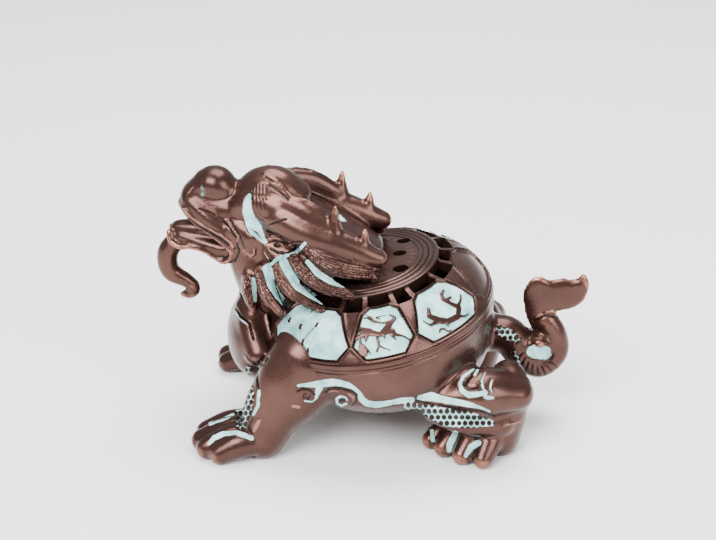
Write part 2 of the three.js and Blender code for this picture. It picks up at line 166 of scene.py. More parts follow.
def bump(middle, half, value):
    return 1 - ramp(0, half, np.abs(value - middle))


# A smooth curve through the values at the knots.
def curveAt(knots, values, at):
    knots = np.asarray(knots, float)
    values = np.asarray(values, float)
    slopes = np.gradient(values, knots, axis=0)
    span = np.clip(np.searchsorted(knots, at, side="right") - 1, 0, len(knots) - 2)
    step = (knots[span + 1] - knots[span])[:, None]
    u = (np.asarray(at)[:, None] - knots[span][:, None]) / step
    return (
        (2 * u**3 - 3 * u**2 + 1) * values[span] + (u**3 - 2 * u**2 + u) * step * slopes[span]
        + (3 * u**2 - 2 * u**3) * values[span + 1] + (u**3 - u**2) * step * slopes[span + 1]
    )


def unit(vectors):
    return vectors / np.linalg.norm(vectors, axis=-1, keepdims=True)


# Limbs: a sphere whose rings are laid along a smooth line through the stations

def ringedSphere(columns, rings, name):
    bpy.ops.object.select_all(action="DESELECT")
    bpy.ops.mesh.primitive_uv_sphere_add(segments=columns, ring_count=rings + 1, radius=1)
    piece = bpy.context.object
    piece.name = name
    points = readPoints(piece)
    ring = np.rint(np.arccos(np.clip(points[:, 2], -1, 1)) / math.pi * (rings + 1)).astype(int)
    return piece, ring, np.arctan2(points[:, 1], points[:, 0])


def spineOf(stations, across):
    table = np.array([(*s, s[3]) if len(s) == 4 else s for s in stations], float)
    knots = np.r_[0, np.cumsum(np.linalg.norm(np.diff(table[:, :3], axis=0), axis=1))]

    def at(places):
        line = curveAt(knots, table, places)
        step = knots[-1] * 0.002
        ahead = curveAt(knots, table[:, :3], np.clip(places + step, 0, knots[-1]))
        behind = curveAt(knots, table[:, :3], np.clip(places - step, 0, knots[-1]))
        along = unit(ahead - behind)
        side = np.asarray(across, float)
        right = unit(side - along * (along @ side)[:, None])
        return line, along, right, np.cross(right, along)

    return at, knots[-1]


def limb(stations, sides=20, step=1.4, across=(0, 1, 0), ridges=None, capRings=4, name="limb"):
    at, length = spineOf(stations, across)
    rows = max(3, round(length / step) + 1)
    capTilts = np.radians(np.linspace(90, 0, capRings, endpoint=False))
    tilts = np.r_[-capTilts, np.zeros(rows), capTilts[::-1]]
    shares = np.r_[np.zeros(capRings), np.linspace(0, 1, rows), np.ones(capRings)]
    piece, ring, around = ringedSphere(sides, len(tilts) - 2, name)
    line, along, right, up = (part[ring] for part in at(shares * length))
    wide, deep, tilt = line[:, 3], line[:, 4], tilts[ring]
    swell = ridges(shares[ring], around) if ridges else 1
    points = line[:, :3] + along * (np.sin(tilt) * np.minimum(wide, deep))[:, None]
    points += right * (np.cos(around) * np.cos(tilt) * wide * swell)[:, None]
    points += up * (np.sin(around) * np.cos(tilt) * deep * swell)[:, None]
    writePoints(piece, points)
    return setTones(piece)


# The same stations on the near side (-1) or the far side (+1), moved by a shift.
def sided(side, stations, shift=(0, 0, 0)):
    return [
        (x + shift[0], side * (y + shift[1]), z + shift[2], *rest)
        for x, y, z, *rest in stations
    ]


# A solid of revolution: the profile runs from axis to axis, from below to above.
def turnedSolid(profile, columns, rows, place, name):
    knots = np.r_[0, np.cumsum(np.linalg.norm(np.diff(np.array(profile, float), axis=0), axis=1))]
    piece, ring, around = ringedSphere(columns, rows, name)
    share = (1 - ring / (rows + 1)) * knots[-1]
    radius = np.interp(share, knots, [r for r, h in profile])
    height = np.interp(share, knots, [h for r, h in profile])
    writePoints(piece, place(radius * np.cos(around), radius * np.sin(around), height))
    return setTones(piece)


# Marks: strokes drawn on the reference view, in its dots from the top left, that are pressed into
# the side of a piece or raised from it. They fall on the near side and, mirrored, on the far side.

reference = {
    "width": 716, "height": 540, "rise": 25.0, "turn": 3.5, "target": (0.0, 0.0, 66.0),
    "distance": 600.0, "lens": 71.2, "sensor": 36.0,
}


def referenceAxes():
    turn, rise = math.radians(reference["turn"]), math.radians(reference["rise"])
    back = np.array([math.sin(turn) * math.cos(rise), -math.cos(turn) * math.cos(rise),
                     math.sin(rise)])
    right = np.array([math.cos(turn), math.sin(turn), 0])
    return right, np.cross(back, right), back


# Where places fall in the reference view, and how many millimetres a dot is there.
def inReference(points):
    right, up, back = referenceAxes()
    offset = points - reference["target"]
    size = (reference["distance"] - offset @ back) * reference["sensor"]
    size = size / (reference["lens"] * reference["width"])
    across = reference["width"] / 2 + offset @ right / size
    down = reference["height"] / 2 - offset @ up / size
    return across, down, size


# How far places are outside a stroke, and on which share of its width they lie, from -1 to 1.
def alongStroke(x, y, table):
    reach = np.full(x.shape, 1e3)
    share = np.zeros(x.shape)
    for (x0, y0, r0), (x1, y1, r1) in zip(table, table[1:]):
        run = (x1 - x0) ** 2 + (y1 - y0) ** 2
        at = np.clip(((x - x0) * (x1 - x0) + (y - y0) * (y1 - y0)) / run, 0, 1)
        half = r0 + at * (r1 - r0)
        gap = np.hypot(x - x0 - at * (x1 - x0), y - y0 - at * (y1 - y0))
        side = np.sign((x - x0) * (y1 - y0) - (y - y0) * (x1 - x0))
        nearer = gap - half < reach
        share = np.where(nearer, side * gap / half, share)
        reach = np.where(nearer, gap - half, reach)
    return reach, share


# Points and normals as the reference sees them, with the far side mirrored to the near one.
def seenFromSide(piece):
    points, normals = readPoints(piece), readNormals(piece)
    mirror = np.where(points[:, 1:2] > 0, (1, -1, 1), (1, 1, 1))
    x, y, size = inReference(points * mirror)
    facing = ramp(0.05, 0.4, (normals * mirror) @ referenceAxes()[2])
    return x, y, size, facing


def nearMarks(piece, marks, room):
    centres = faceCentres(piece)
    centres[:, 1] = -np.abs(centres[:, 1])
    x, y, size = inReference(centres)
    lines = [line for mark in marks for line in mark["lines"]]
    return strokeReach(x, y, lines) < room


# Moves the surface along its normals and lays the tones of the marks over those it has.
def pressMarks(piece, marks, patina, wearAndPaintedLight):
    x, y, size, facing = seenFromSide(piece)
    out = np.zeros(len(x))
    for mark in marks:
        edge = mark.get("edge", 0.3)
        if "strands" in mark:
            reach = np.full(x.shape, 1e3)
            share = np.zeros(x.shape)
            for line in mark["lines"]:
                gap, place = alongStroke(x, y, np.array(line, float))
                share = np.where(gap < reach, place, share)
                reach = np.minimum(reach, gap)
            crest = np.abs(np.sin(math.pi * mark["strands"] * (share + 1) / 2)) ** 0.8
        else:
            reach = strokeReach(x, y, mark["lines"])
            crest = 1
        cover = facing * (1 - ramp(-edge, edge, reach * size))
        if "scales" in mark:
            cell = mark["scales"]
            row = np.floor(y / cell)
            fx = (x / cell + 0.5 * (row % 2)) % 1 - 0.5
            fy = (y / cell) % 1 - 0.5
            crest = 1 - ramp(0.28, 0.5, np.hypot(fx, fy * 0.9))
            patina = patina * (1 - cover) + cover * mark["patina"] * (1 - crest)
            wearAndPaintedLight = wearAndPaintedLight * (1 - cover) + cover * mark["wearAndPaintedLight"] * crest
            out += cover * mark["out"] * crest
            continue
        out += cover * mark["out"] * crest
        if "patina" in mark:
            patina = patina * (1 - cover) + cover * mark["patina"]
        if "wearAndPaintedLight" in mark:
            # Strands get copper on their crests and dark between them: painted highlight and painted
            # shade.
            wearAndPaintedLight = wearAndPaintedLight * (1 - cover) + cover * (mark["wearAndPaintedLight"] if "strands" not in mark
                                                 else crest * 1.1 - 0.75)
    writePoints(piece, readPoints(piece) + readNormals(piece) * out[:, None])
    return patina, wearAndPaintedLight


# How deep a place lies under the evened-out surface: above 0 in hollows, below 0 on crests.
def hollowness(piece, rounds):
    even = piece.copy()
    even.data = piece.data.copy()
    bpy.context.collection.objects.link(even)
    applyModifier(even, "SMOOTH", factor=0.5, iterations=rounds)
    gap = ((readPoints(even) - readPoints(piece)) * readNormals(piece)).sum(axis=1)
    bpy.data.objects.remove(even)
    return gap


# The shell: eight panels and a pierced lattice round a ridged disc

shell = {
    "seamX": 9.5, "seamZ": 46.6, "pitch": 10.0, "widthRatio": 1.17, "fitGap": 0.3,
    # the outside from the rim to the disc: distance from the axis, height over the seam
    "side": [(49, 0.3), (49.4, 4.8), (47.2, 10), (41.5, 17), (35, 21.2), (29.8, 22.8)],
    "discRadius": 29.2, "discRise": 24.0, "crownRise": 25.6,
    "hollow": [(0, -20), (46, -20), (45.8, 6), (39, 14), (29, 19.4), (0, 22.4)],
    "columns": 240,
    "ringRidges": 4, "ringFrom": 20.4, "ringHeight": 0.75,
    "mouldings": [(1.7, 0.35), (3.1, 0.3), (5.6, 0.35)],
}
panel = {
    # angles from the tail: foot from and to, top from and to
    "spans": [(-23, 23, -10, 10), (23, 66, 32, 57), (66, 99, 71, 91), (99, 153, 108, 143)],
    "bottom": 7.6, "top": 27.4, "frame": 1.3, "chamfer": 5.0, "topChamfer": 2.4,
    "depth": 0.9, "relief": 0.85,
}
lattice = {
    "bottom": 28.4, "top": 33.8, "bar": 2.0,
    # round holes in the disc: angle from the tail, distance from the axis, radius
    "holes": [(6, 12.6, 2.7), (-41, 17.9, 3.1), (42, 18.5, 2.6)],
}
sideWays = np.r_[0, np.cumsum(np.linalg.norm(np.diff(np.array(shell["side"]), axis=0), axis=1))]
riserWay = sideWays[-1] + 1.34
crownWay = riserWay + shell["discRadius"]


def shellProfile(way):
    radius, height = curveAt(sideWays, shell["side"], np.minimum(way, sideWays[-1])).T
    rise = ramp(sideWays[-1], riserWay, way)
    edgeRadius, edgeHeight = shell["side"][-1]
    radius = radius + rise * (shell["discRadius"] - edgeRadius)
    height = height + rise * (shell["discRise"] - edgeHeight)
    inward = np.clip((way - riserWay) / (crownWay - riserWay), 0, 1)
    radius = radius * (1 - inward)
    height = height + (shell["crownRise"] - shell["discRise"]) * (1 - (1 - inward) ** 2)
    return radius, height


# From the shell's own round frame to the drawing: widened, pitched and set on the seam.
def fromSeam(x, y, height):
    pitch = math.radians(shell["pitch"])
    return np.stack([
        shell["seamX"] + x * math.cos(pitch) - height * math.sin(pitch),
        y * shell["widthRatio"],
        shell["seamZ"] + x * math.sin(pitch) + height * math.cos(pitch),
    ], axis=-1)


def onShell(degrees, way, out):
    radius, height = shellProfile(way)
    ahead = shellProfile(way + 0.05)
    behind = shellProfile(way - 0.05)
    slope = unit(np.stack([ahead[0] - behind[0], ahead[1] - behind[1]], axis=-1))
    radius = radius + slope[:, 1] * out
    height = height - slope[:, 0] * out
    angle = np.radians(degrees)
    return fromSeam(radius * np.cos(angle), radius * np.sin(angle), height)


# Places in a panel, in millimetres: along is towards the tail, up is up the shell's side.
def panelPlaces(degrees, way, span):
    middle = (span[0] + span[1]) / 2
    radius = shellProfile(way)[0]
    return -np.radians(degrees - middle) * radius, way - panel["bottom"]


def panelOutline(span):
    edge = math.degrees(panel["frame"] / 49)
    foot = math.degrees(panel["chamfer"] / 49)
    crown = math.degrees(panel["topChamfer"] / 38)
    low, high = span[0] + edge, span[1] - edge
    shoulder = panel["bottom"] + panel["chamfer"]
    brow = panel["top"] - panel["topChamfer"]
    share = (brow - shoulder) / (panel["top"] - shoulder)
    outline = [
        (low + foot, panel["bottom"]), (high - foot, panel["bottom"]), (high, shoulder),
        (high + (span[3] - high) * share, brow), (span[3] - crown, panel["top"]),
        (span[2] + crown, panel["top"]), (low + (span[2] - low) * share, brow), (low, shoulder),
    ]
    degrees, ways = np.array(outline).T
    return np.stack(panelPlaces(degrees, ways, span), axis=-1)


# How far inside the panel's outline a place lies, negative outside.
def insidePanel(along, up, outline):
    inside = np.full(along.shape, 1e3)
    for start, end in zip(outline, np.roll(outline, -1, axis=0)):
        edge = unit(end - start)
        inside = np.minimum(inside, (up - start[1]) * -edge[0] + (along - start[0]) * edge[1])
    return inside


# Strokes of the relief figures: runs of places with a half width, in a panel's millimetres.
figures = {
    2: [  # a leaping beast under a long-tailed bird
        [(-11.3, 14.5, 0.3), (-9.9, 13.0, 0.35)],
        [(-8.7, 15.0, 0.28), (-9.6, 14.3, 0.33), (-9.5, 13.2, 0.4)],
        [(-9.7, 13.1, 0.5), (-7.0, 11.7, 0.9), (-4.4, 10.9, 0.9)],
        [(-7.0, 10.6, 1.8), (-4.6, 10.1, 1.5), (-0.8, 8.6, 1.0), (1.9, 9.7, 1.8), (3.7, 12.1, 1.3)],
        [(3.7, 12.1, 1.3), (5.9, 13.4, 0.8), (6.1, 14.2, 0.5), (4.3, 15.7, 0.28)],
        [(3.7, 12.8, 0.7), (0.6, 13.0, 0.5), (-2.1, 14.2, 0.65), (-3.9, 16.0, 0.85)],
        [(-4.3, 16.1, 0.5), (-7.7, 16.4, 0.27)],
        [(-3.0, 16.3, 0.4), (-5.1, 17.5, 0.22)],
        [(-1.2, 15.8, 0.45), (0.3, 14.6, 0.25)],
        [(-1.0, 15.9, 0.35), (2.6, 16.0, 0.22)],
        [(-7.8, 9.4, 1.0), (-10.2, 8.4, 0.6), (-10.7, 7.6, 0.4)],
        [(-6.3, 8.8, 1.0), (-6.8, 7.1, 0.5)],
        [(-9.0, 8.4, 0.5), (-9.0, 6.6, 0.5), (-9.0, 4.5, 1.3), (-8.7, 2.8, 2.0)],
        [(-8.1, 5.6, 0.5), (-6.6, 3.6, 0.35), (-5.9, 1.9, 0.3)],
        [(-2.1, 7.4, 0.6), (-1.9, 4.7, 0.6), (-3.2, 2.4, 0.45)],
        [(-1.8, 4.4, 0.5), (0.2, 3.0, 0.4), (2.1, 2.0, 0.35)],
        [(4.3, 8.7, 1.3), (5.0, 7.5, 0.8), (8.1, 6.0, 0.4), (10.3, 4.0, 0.4), (10.7, 1.7, 0.3)],
        [(10.3, 4.1, 0.3), (11.5, 3.9, 0.25)],
        [(3.7, 7.5, 0.7), (5.0, 5.5, 0.3)],
        [(0.6, 7.8, 0.6), (0.9, 7.0, 0.3)],
    ],
    1: [  # two curling beasts, head to tail
        [(-6.3, 12.4, 0.6), (-8.0, 9.4, 1.1), (-5.6, 6.3, 1.5), (-2.4, 4.2, 1.3), (2.9, 3.6, 1.4)],
        [(2.9, 3.6, 1.4), (5.8, 6.1, 1.3), (3.7, 8.9, 0.9), (1.7, 12.5, 1.1), (2.7, 14.6, 0.8)],
        [(2.7, 14.6, 0.8), (4.9, 15.4, 0.6)],
        [(2.6, 11.6, 0.9), (5.4, 11.4, 0.5)],
        [(6.3, 6.9, 0.9), (9.4, 8.2, 0.6), (10.7, 9.4, 0.35)],
        [(3.8, 3.2, 0.8), (6.2, 2.0, 0.45), (9.0, 1.6, 0.3)],
        [(-6.6, 6.2, 1.1), (-10.0, 6.0, 0.6), (-11.5, 8.9, 0.3)],
        [(-2.6, 3.6, 0.8), (-3.4, 2.6, 0.35)],
        [(-8.0, 2.0, 0.35), (-7.0, 3.0, 0.5), (-5.4, 2.4, 0.5), (-4.6, 1.0, 0.4), (-3.0, 0.4, 0.4)],
    ],
    3: [  # stars joined by fine lines
        [(-12.3, 10.2, 0.85), (-12.2, 11.2, 0.7)],
        [(-4.4, 9.9, 0.85), (-4.4, 10.9, 0.7)],
        [(3.4, 12.4, 0.8), (3.6, 13.4, 0.7)],
        [(-0.9, 4.4, 0.7), (-0.7, 5.8, 0.65)],
        [(2.7, 1.6, 0.65), (2.7, 3.0, 0.6)],
        [(3.0, 12.0, 0.2), (-0.6, 6.0, 0.2)],
        [(-0.6, 4.4, 0.2), (2.5, 2.6, 0.2)],
        [(-2.2, 16.0, 0.25), (-2.2, 17.8, 0.3)],
    ],
    0: [],
}


def strokeReach(along, up, strokes, margin=6):
    reach = np.full(along.shape, 1e3)
    for stroke in strokes:
        table = np.array(stroke, float)
        pad = table[:, 2].max() + margin
        near = (along > table[:, 0].min() - pad) & (along < table[:, 0].max() + pad)
        near &= (up > table[:, 1].min() - pad) & (up < table[:, 1].max() + pad)
        reach[near] = np.minimum(reach[near], alongStroke(along[near], up[near], table)[0])
    return reach


# For every place on the shell: how far it is inside its panel, and how far from a figure's edge.
def panelFields(degrees, way):
    inside = np.full(degrees.shape, -1e3)
    reach = np.full(degrees.shape, 1e3)
    number = np.zeros(degrees.shape, int)
    turned = np.abs(degrees)
    for index, span in enumerate(panel["spans"]):
        along, up = panelPlaces(degrees if index == 0 else turned, way, span)
        here = insidePanel(along, up, panelOutline(span))
        near = here > inside
        inside = np.where(near, here, inside)
        number = np.where(near, index, number)
        if figures[index]:
            reach = np.where(near, strokeReach(along, up, figures[index]), reach)
        else:
            reach = np.where(near, 1e3, reach)
    return inside, reach, number


def shellSkin():
    rows = np.r_[
        np.arange(0, 7.4, 0.4), np.arange(7.4, 28, 1.15), np.arange(28.4, 33.7, 0.9),
        np.arange(33.8, 43.4, 0.33), np.arange(43.6, crownWay, 1.4), crownWay,
    ]
    columns, last = shell["columns"], len(rows)
    bpy.ops.object.select_all(action="DESELECT")
    bpy.ops.mesh.primitive_grid_add(x_subdivisions=columns, y_subdivisions=last, size=2)
    piece = bpy.context.object
    piece.name = "shellSkin"

    def unrolled(points):
        row = (points[:, 1] + 1) / 2 * last
        return points[:, 0] * 180, np.interp(row, np.arange(last + 1), np.r_[-1, rows])

    # fine cells where the panels are, and finer ones along frames and figures
    for width, cuts in ((2.4, 1), (0.9, 1)):
        degrees, way = unrolled(faceCentres(piece))
        inside, reach, number = panelFields(degrees, way)
        near = (way > 7) & (way < 28.2) & (np.abs(degrees) < 156)
        edges = np.minimum(np.abs(inside + 0.6), np.where(inside > 0, np.abs(reach), 1e3))
        refine(piece, near & ((edges < width) | ((width > 2) & (inside > -2.4))), cuts)

    degrees, way = unrolled(readPoints(piece))
    inside, reach, number = panelFields(degrees, way)
    ground = ramp(0.0, 0.45, inside)
    figure = ground * (1 - ramp(-0.25, 0.2, reach))
    out = -panel["depth"] * ground + panel["relief"] * figure
    out -= 0.5 * bump(-0.5, 0.42, inside) * (way > 5)
    out += 0.22 * bump(-1.3, 0.6, inside) * (way > 5)
    for at, depth in shell["mouldings"]:
        out -= depth * bump(at, 0.4, way)
    radius = shellProfile(way)[0]
    onRings = (radius > shell["ringFrom"]) & (way > riserWay)
    turn = (radius - shell["ringFrom"]) / (shell["discRadius"] - shell["ringFrom"])
    wave = np.abs(np.sin(math.pi * turn * shell["ringRidges"]))
    out += np.where(onRings, shell["ringHeight"] * (np.sqrt(wave) - 0.45), 0)
    rays = np.maximum(0, np.cos(np.radians(degrees) * 34)) ** 2 * bump(17.6, 2.6, radius)
    out += np.where(way > riserWay, 0.35 * rays, 0)

    bloom = ground * (1 - figure) * (1 - 0.9 * (number == 0))
    # The grooves round the panels and the valleys between the disc's rings are painted dark as shade.
    line = bump(-0.5, 0.5, inside) * (way > 5)
    darkToneAndShade = np.maximum(line, np.where(onRings, 1 - ramp(0.1, 0.6, wave), 0))
    points = onShell(degrees, np.clip(way, 0, crownWay), out)
    points[way < -0.5] = fromSeam(0, 0, shell["fitGap"])
    writePoints(piece, points)
    setTones(piece, bloom, -darkToneAndShade)
    selectOnly(piece)
    bpy.ops.object.mode_set(mode="EDIT")
    bpy.ops.mesh.select_all(action="SELECT")
    bpy.ops.mesh.remove_doubles(threshold=0.002)
    bpy.ops.mesh.normals_make_consistent(inside=False)
    bpy.ops.object.mode_set(mode="OBJECT")
    return piece


# A wedge stands on a run of angles and ways of the shell and cuts through it.
def shellWedge(low, high, bottom, top):
    bpy.ops.object.select_all(action="DESELECT")
    bpy.ops.mesh.primitive_cube_add(size=2)
    piece = bpy.context.object
    bpy.ops.object.mode_set(mode="EDIT")
    bpy.ops.mesh.subdivide(number_cuts=5)
    bpy.ops.object.mode_set(mode="OBJECT")
    x, y, z = readPoints(piece).T
    degrees = (low + high) / 2 + x * (high - low) / 2
    way = (bottom + top) / 2 + y * (top - bottom) / 2
    writePoints(piece, onShell(degrees, way, z * 9))
    selectOnly(piece)
    bpy.ops.object.mode_set(mode="EDIT")
    bpy.ops.mesh.select_all(action="SELECT")
    bpy.ops.mesh.normals_make_consistent(inside=False)
    bpy.ops.object.mode_set(mode="OBJECT")
    # The cut walls of the openings are painted darker as shade.
    return setTones(piece, 0, -0.3)


def latticeWedges():
    bar = math.degrees(lattice["bar"] / 2 / 33)
    spans = panel["spans"]
    wedges = []
    for index, span in enumerate(spans):
        far = spans[index + 1][2] if index + 1 < len(spans) else 360 - span[3]
        openings = [(span[2] + bar, span[3] - bar, 0), (span[3] + bar, far - bar, 2)]
        if index == 3:
            openings[1] = (span[3] + 8 + lattice["bar"], 179, 0)
        for low, high, drop in openings:
            for side in (-1, 1):
                wedges.append(shellWedge(side * low, side * high, lattice["bottom"] - drop,
                                         lattice["top"]))
    return wedges


def makeShell():
    piece = shellSkin()
    print("shell skin", len(piece.data.polygons))
    for wedge in latticeWedges():
        combine(piece, wedge, "DIFFERENCE")
    for degrees, distance, radius in lattice["holes"]:
        angle = math.radians(degrees)
        x, y = distance * math.cos(angle), distance * math.sin(angle)
        lower = fromSeam(np.array([x]), np.array([y]), np.array([14.0]))[0]
        upper = fromSeam(np.array([x]), np.array([y]), np.array([34.0]))[0]
        hole = limb([(*lower, radius, radius * 1.1), (*upper, radius, radius * 1.1)], sides=28)
        # The walls of the holes are painted darker as shade.
        combine(piece, setTones(hole, 0, -0.4), "DIFFERENCE")
    return piece


# The dragon's head, neck, horns and mane

neck = [(-33, 0, 47, 17, 14), (-37, 0, 59, 19, 13.5), (-42, 0, 73, 17, 13), (-45, 0, 86, 13, 13)]
head = {
    "skull": [(-34, 0, 93, 11, 9), (-44, 0, 94, 13, 9), (-54, 0, 94, 11, 8.5), (-65, 0, 97, 8.5, 8)],
    "nose": [(-52, 0, 99, 7, 5), (-60.5, 0, 104, 8.5, 7.6), (-62, 0, 103.5, 8, 7.2)],
    "lipFront": [(-67, 0, 104, 6.5, 3), (-70.5, 0, 99, 8, 3.6), (-69, 0, 93, 8.5, 3.6),
                 (-62, 0, 89.5, 9, 3.2)],
    "jaw": [(-46, 0, 76.5, 11, 7), (-57, 0, 77.6, 10.4, 4.8), (-67, 0, 79.8, 8, 3.6),
            (-74.5, 0, 81, 5.6, 3.4)],
    "tongue": [(-50, 0, 82, 8, 4), (-62, 0, 84, 6, 3.6), (-71, 0, 84.5, 4.6, 3), (-76, 0, 84, 3.4, 3)],
    "beard": [(-75, 0, 80, 4.5, 4), (-81, 0, 72, 4.5, 4.6), (-80, 0, 63, 4, 4.2),
              (-73.5, 0, 59, 3.4, 3.2), (-70, 0, 55.5, 2.8, 2.6), (-72, 0, 52.6, 2.2, 2.2),
              (-75.5, 0, 52.6, 1.6, 1.6)],
    "lipUpper": [(-72.5, 3, 97, 2.2, 2.6), (-70, 7.5, 94.4, 1.9, 2.2), (-67, 9, 91, 1.5, 1.8),
                 (-61.5, 10.5, 87.5, 1.5, 1.8), (-55.5, 11.5, 83, 1.5, 1.8),
                 (-51.5, 12, 78.5, 1.5, 1.6), (-52, 11.4, 75, 1.4, 1.4)],
    "lipRoll": [(-68, 7, 97, 2.4, 3), (-62, 9.4, 92.5, 2.8, 3.2), (-56, 11, 88, 2.6, 3),
                (-50.5, 12, 82, 2.2, 2.6)],
    "lipLower": [(-52, 11.4, 75, 1.4, 1.4), (-55.8, 10.2, 72.9, 1.2, 1.2), (-59.2, 9.2, 74.4, 1.2, 1.2),
                 (-65, 8, 77.4, 1.2, 1.2), (-70.6, 7, 78, 1.2, 1.2), (-75.2, 6, 77.6, 1.3, 1.3),
                 (-78.4, 4.6, 79.4, 1.4, 1.4), (-79.2, 3, 83, 1.4, 1.4)],
    "cheek": [(-49, 8, 88, 7, 7), (-42, 10, 85, 8, 9)],
    "brow": [(-47, 9, 96.5, 4.5, 6), (-40, 11, 99.5, 5.2, 7), (-31, 13, 97.5, 6, 7)],
    "crest": [(-48, 0, 100, 8, 5), (-41, 0, 105, 8, 6), (-34, 0, 106.3, 8, 5.6), (-24, 0, 100, 9, 5)],
    "plate": [(-40, 8, 103, 4.2, 5), (-31, 12.5, 101.5, 4.2, 5.5), (-21, 16.5, 98.3, 4.2, 6),
              (-11, 18.5, 93.5, 4, 4.4)],
    "horn": [(-34, 13, 95, 5.6, 6), (-28, 16, 94, 6, 6.5), (-21.5, 18, 91, 6.3, 6.8),
             (-14, 19, 88.5, 6.3, 6.6), (-8, 19.5, 87, 6.2, 6.4), (0, 20, 84, 5.6, 5.8),
             (7, 20.5, 81.2, 4.6, 4.8), (9.5, 20.5, 80.6, 4, 4.2)],
    "spikes": [[(-8.5, 19.5, 90, 4.6, 4.6), (-8.4, 19.6, 95, 3, 3), (-8.2, 19.8, 99.4, 1.8, 1.8),
                (-8, 20, 102.6, 0.9, 0.9)],
               [(3.2, 20, 84.6, 4.2, 4.2), (3.4, 20, 88.4, 2.6, 2.6), (3.8, 20, 91.4, 1.6, 1.6),
                (4, 20, 93.4, 0.8, 0.8)]],
    "voxel": 0.76,
}
mane = {
    "beds": [[(-40, 0, 84, 16, 12), (-30, 0, 76, 23, 14), (-17, 0, 69, 27, 10)],
             [(-36, 0, 95, 12, 9), (-21, 0, 88, 19, 9), (-6, 0, 81, 20, 7), (7, 0, 76, 14, 4)]],
    # each lock runs from root through middle to tip, with its half width and half depth
    "locks": [
        [(-19, 21, 85, 4, 3.4), (-6, 26, 79, 5, 3.4), (9, 23, 74.5, 2.2, 1.7)],
        [(-26, 23, 81, 4, 3.4), (-13, 30, 74, 5, 3.4), (0, 32, 69, 2.2, 1.7)],
        [(-32, 22.5, 77, 4, 3.4), (-23, 30, 69.5, 5, 3.4), (-12, 34, 64, 2.2, 1.7)],
        [(-38, 20, 73.5, 4, 3.4), (-34, 27, 66, 5, 3.4), (-29, 31, 60, 2.2, 1.7)],
        [(-44, 14, 70, 4, 3.4), (-43.5, 19, 63, 5, 3.4), (-42, 21, 56, 2.2, 1.7)],
    ],
}
maneMarks = [
    {"out": -0.35, "edge": 0.4, "patina": 1, "wearAndPaintedLight": 0, "lines": [
        [(307.4, 261.6, 2), (317.1, 273.1, 3), (331.6, 281.6, 3), (346.2, 285.9, 2.2), (356, 285.3, 1.4)],
        [(283.2, 261.6, 4.4), (289.2, 273.7, 4), (297.7, 285.9, 4), (309.8, 294.3, 3.2),
         (321.9, 301.6, 2.4), (330, 304.6, 1.2)],
        [(267.4, 270.1, 4.6), (271, 283.4, 4.2), (277.1, 294.3, 3.6), (285.6, 304, 3), (288, 311.3, 2)],
        [(252.9, 279.8, 2.6), (254.1, 288.3, 2.4), (255.3, 300.4, 1.8)],
        [(305, 243.5, 1.6), (296.5, 252, 1.8), (278.3, 258, 2), (263.8, 268.3, 2)],
    ]},
    # Locks raised in strands, copper on each strand's crest as painted highlight and dark between strands
    # as painted shade.
    {"out": 0.55, "edge": 0.4, "strands": 6, "patina": 0, "wearAndPaintedLight": 1, "lines": [
        [(306.8, 249.5, 3.8), (318.3, 259.9, 5.6), (334, 268.3, 8), (350, 272, 8), (368, 274, 7),
         (380, 274, 5)],
        [(293.5, 257.4, 4.6), (300.2, 269, 5.2), (309.9, 280.4, 6.2), (323.2, 289.5, 6.8),
         (340.2, 295, 7.4), (357, 296, 5)],
    ]},
    {"out": 0.55, "edge": 0.4, "strands": 4, "patina": 0, "wearAndPaintedLight": 1, "lines": [
        [(275.3, 268.3, 2.4), (279.5, 281, 3), (286.8, 293.1, 4.2), (298.4, 303.5, 5.6),
         (313.5, 308.9, 5.4), (329.2, 310.7, 2.2)],
        [(260.2, 274.4, 3.5), (262, 287.7, 4.8), (268, 300.4, 6), (277.1, 311.3, 5.2), (285, 320.4, 2)],
        [(247.2, 278.6, 4.2), (247.8, 290.7, 3.8), (251, 303.4, 2.4)],
    ]},
]
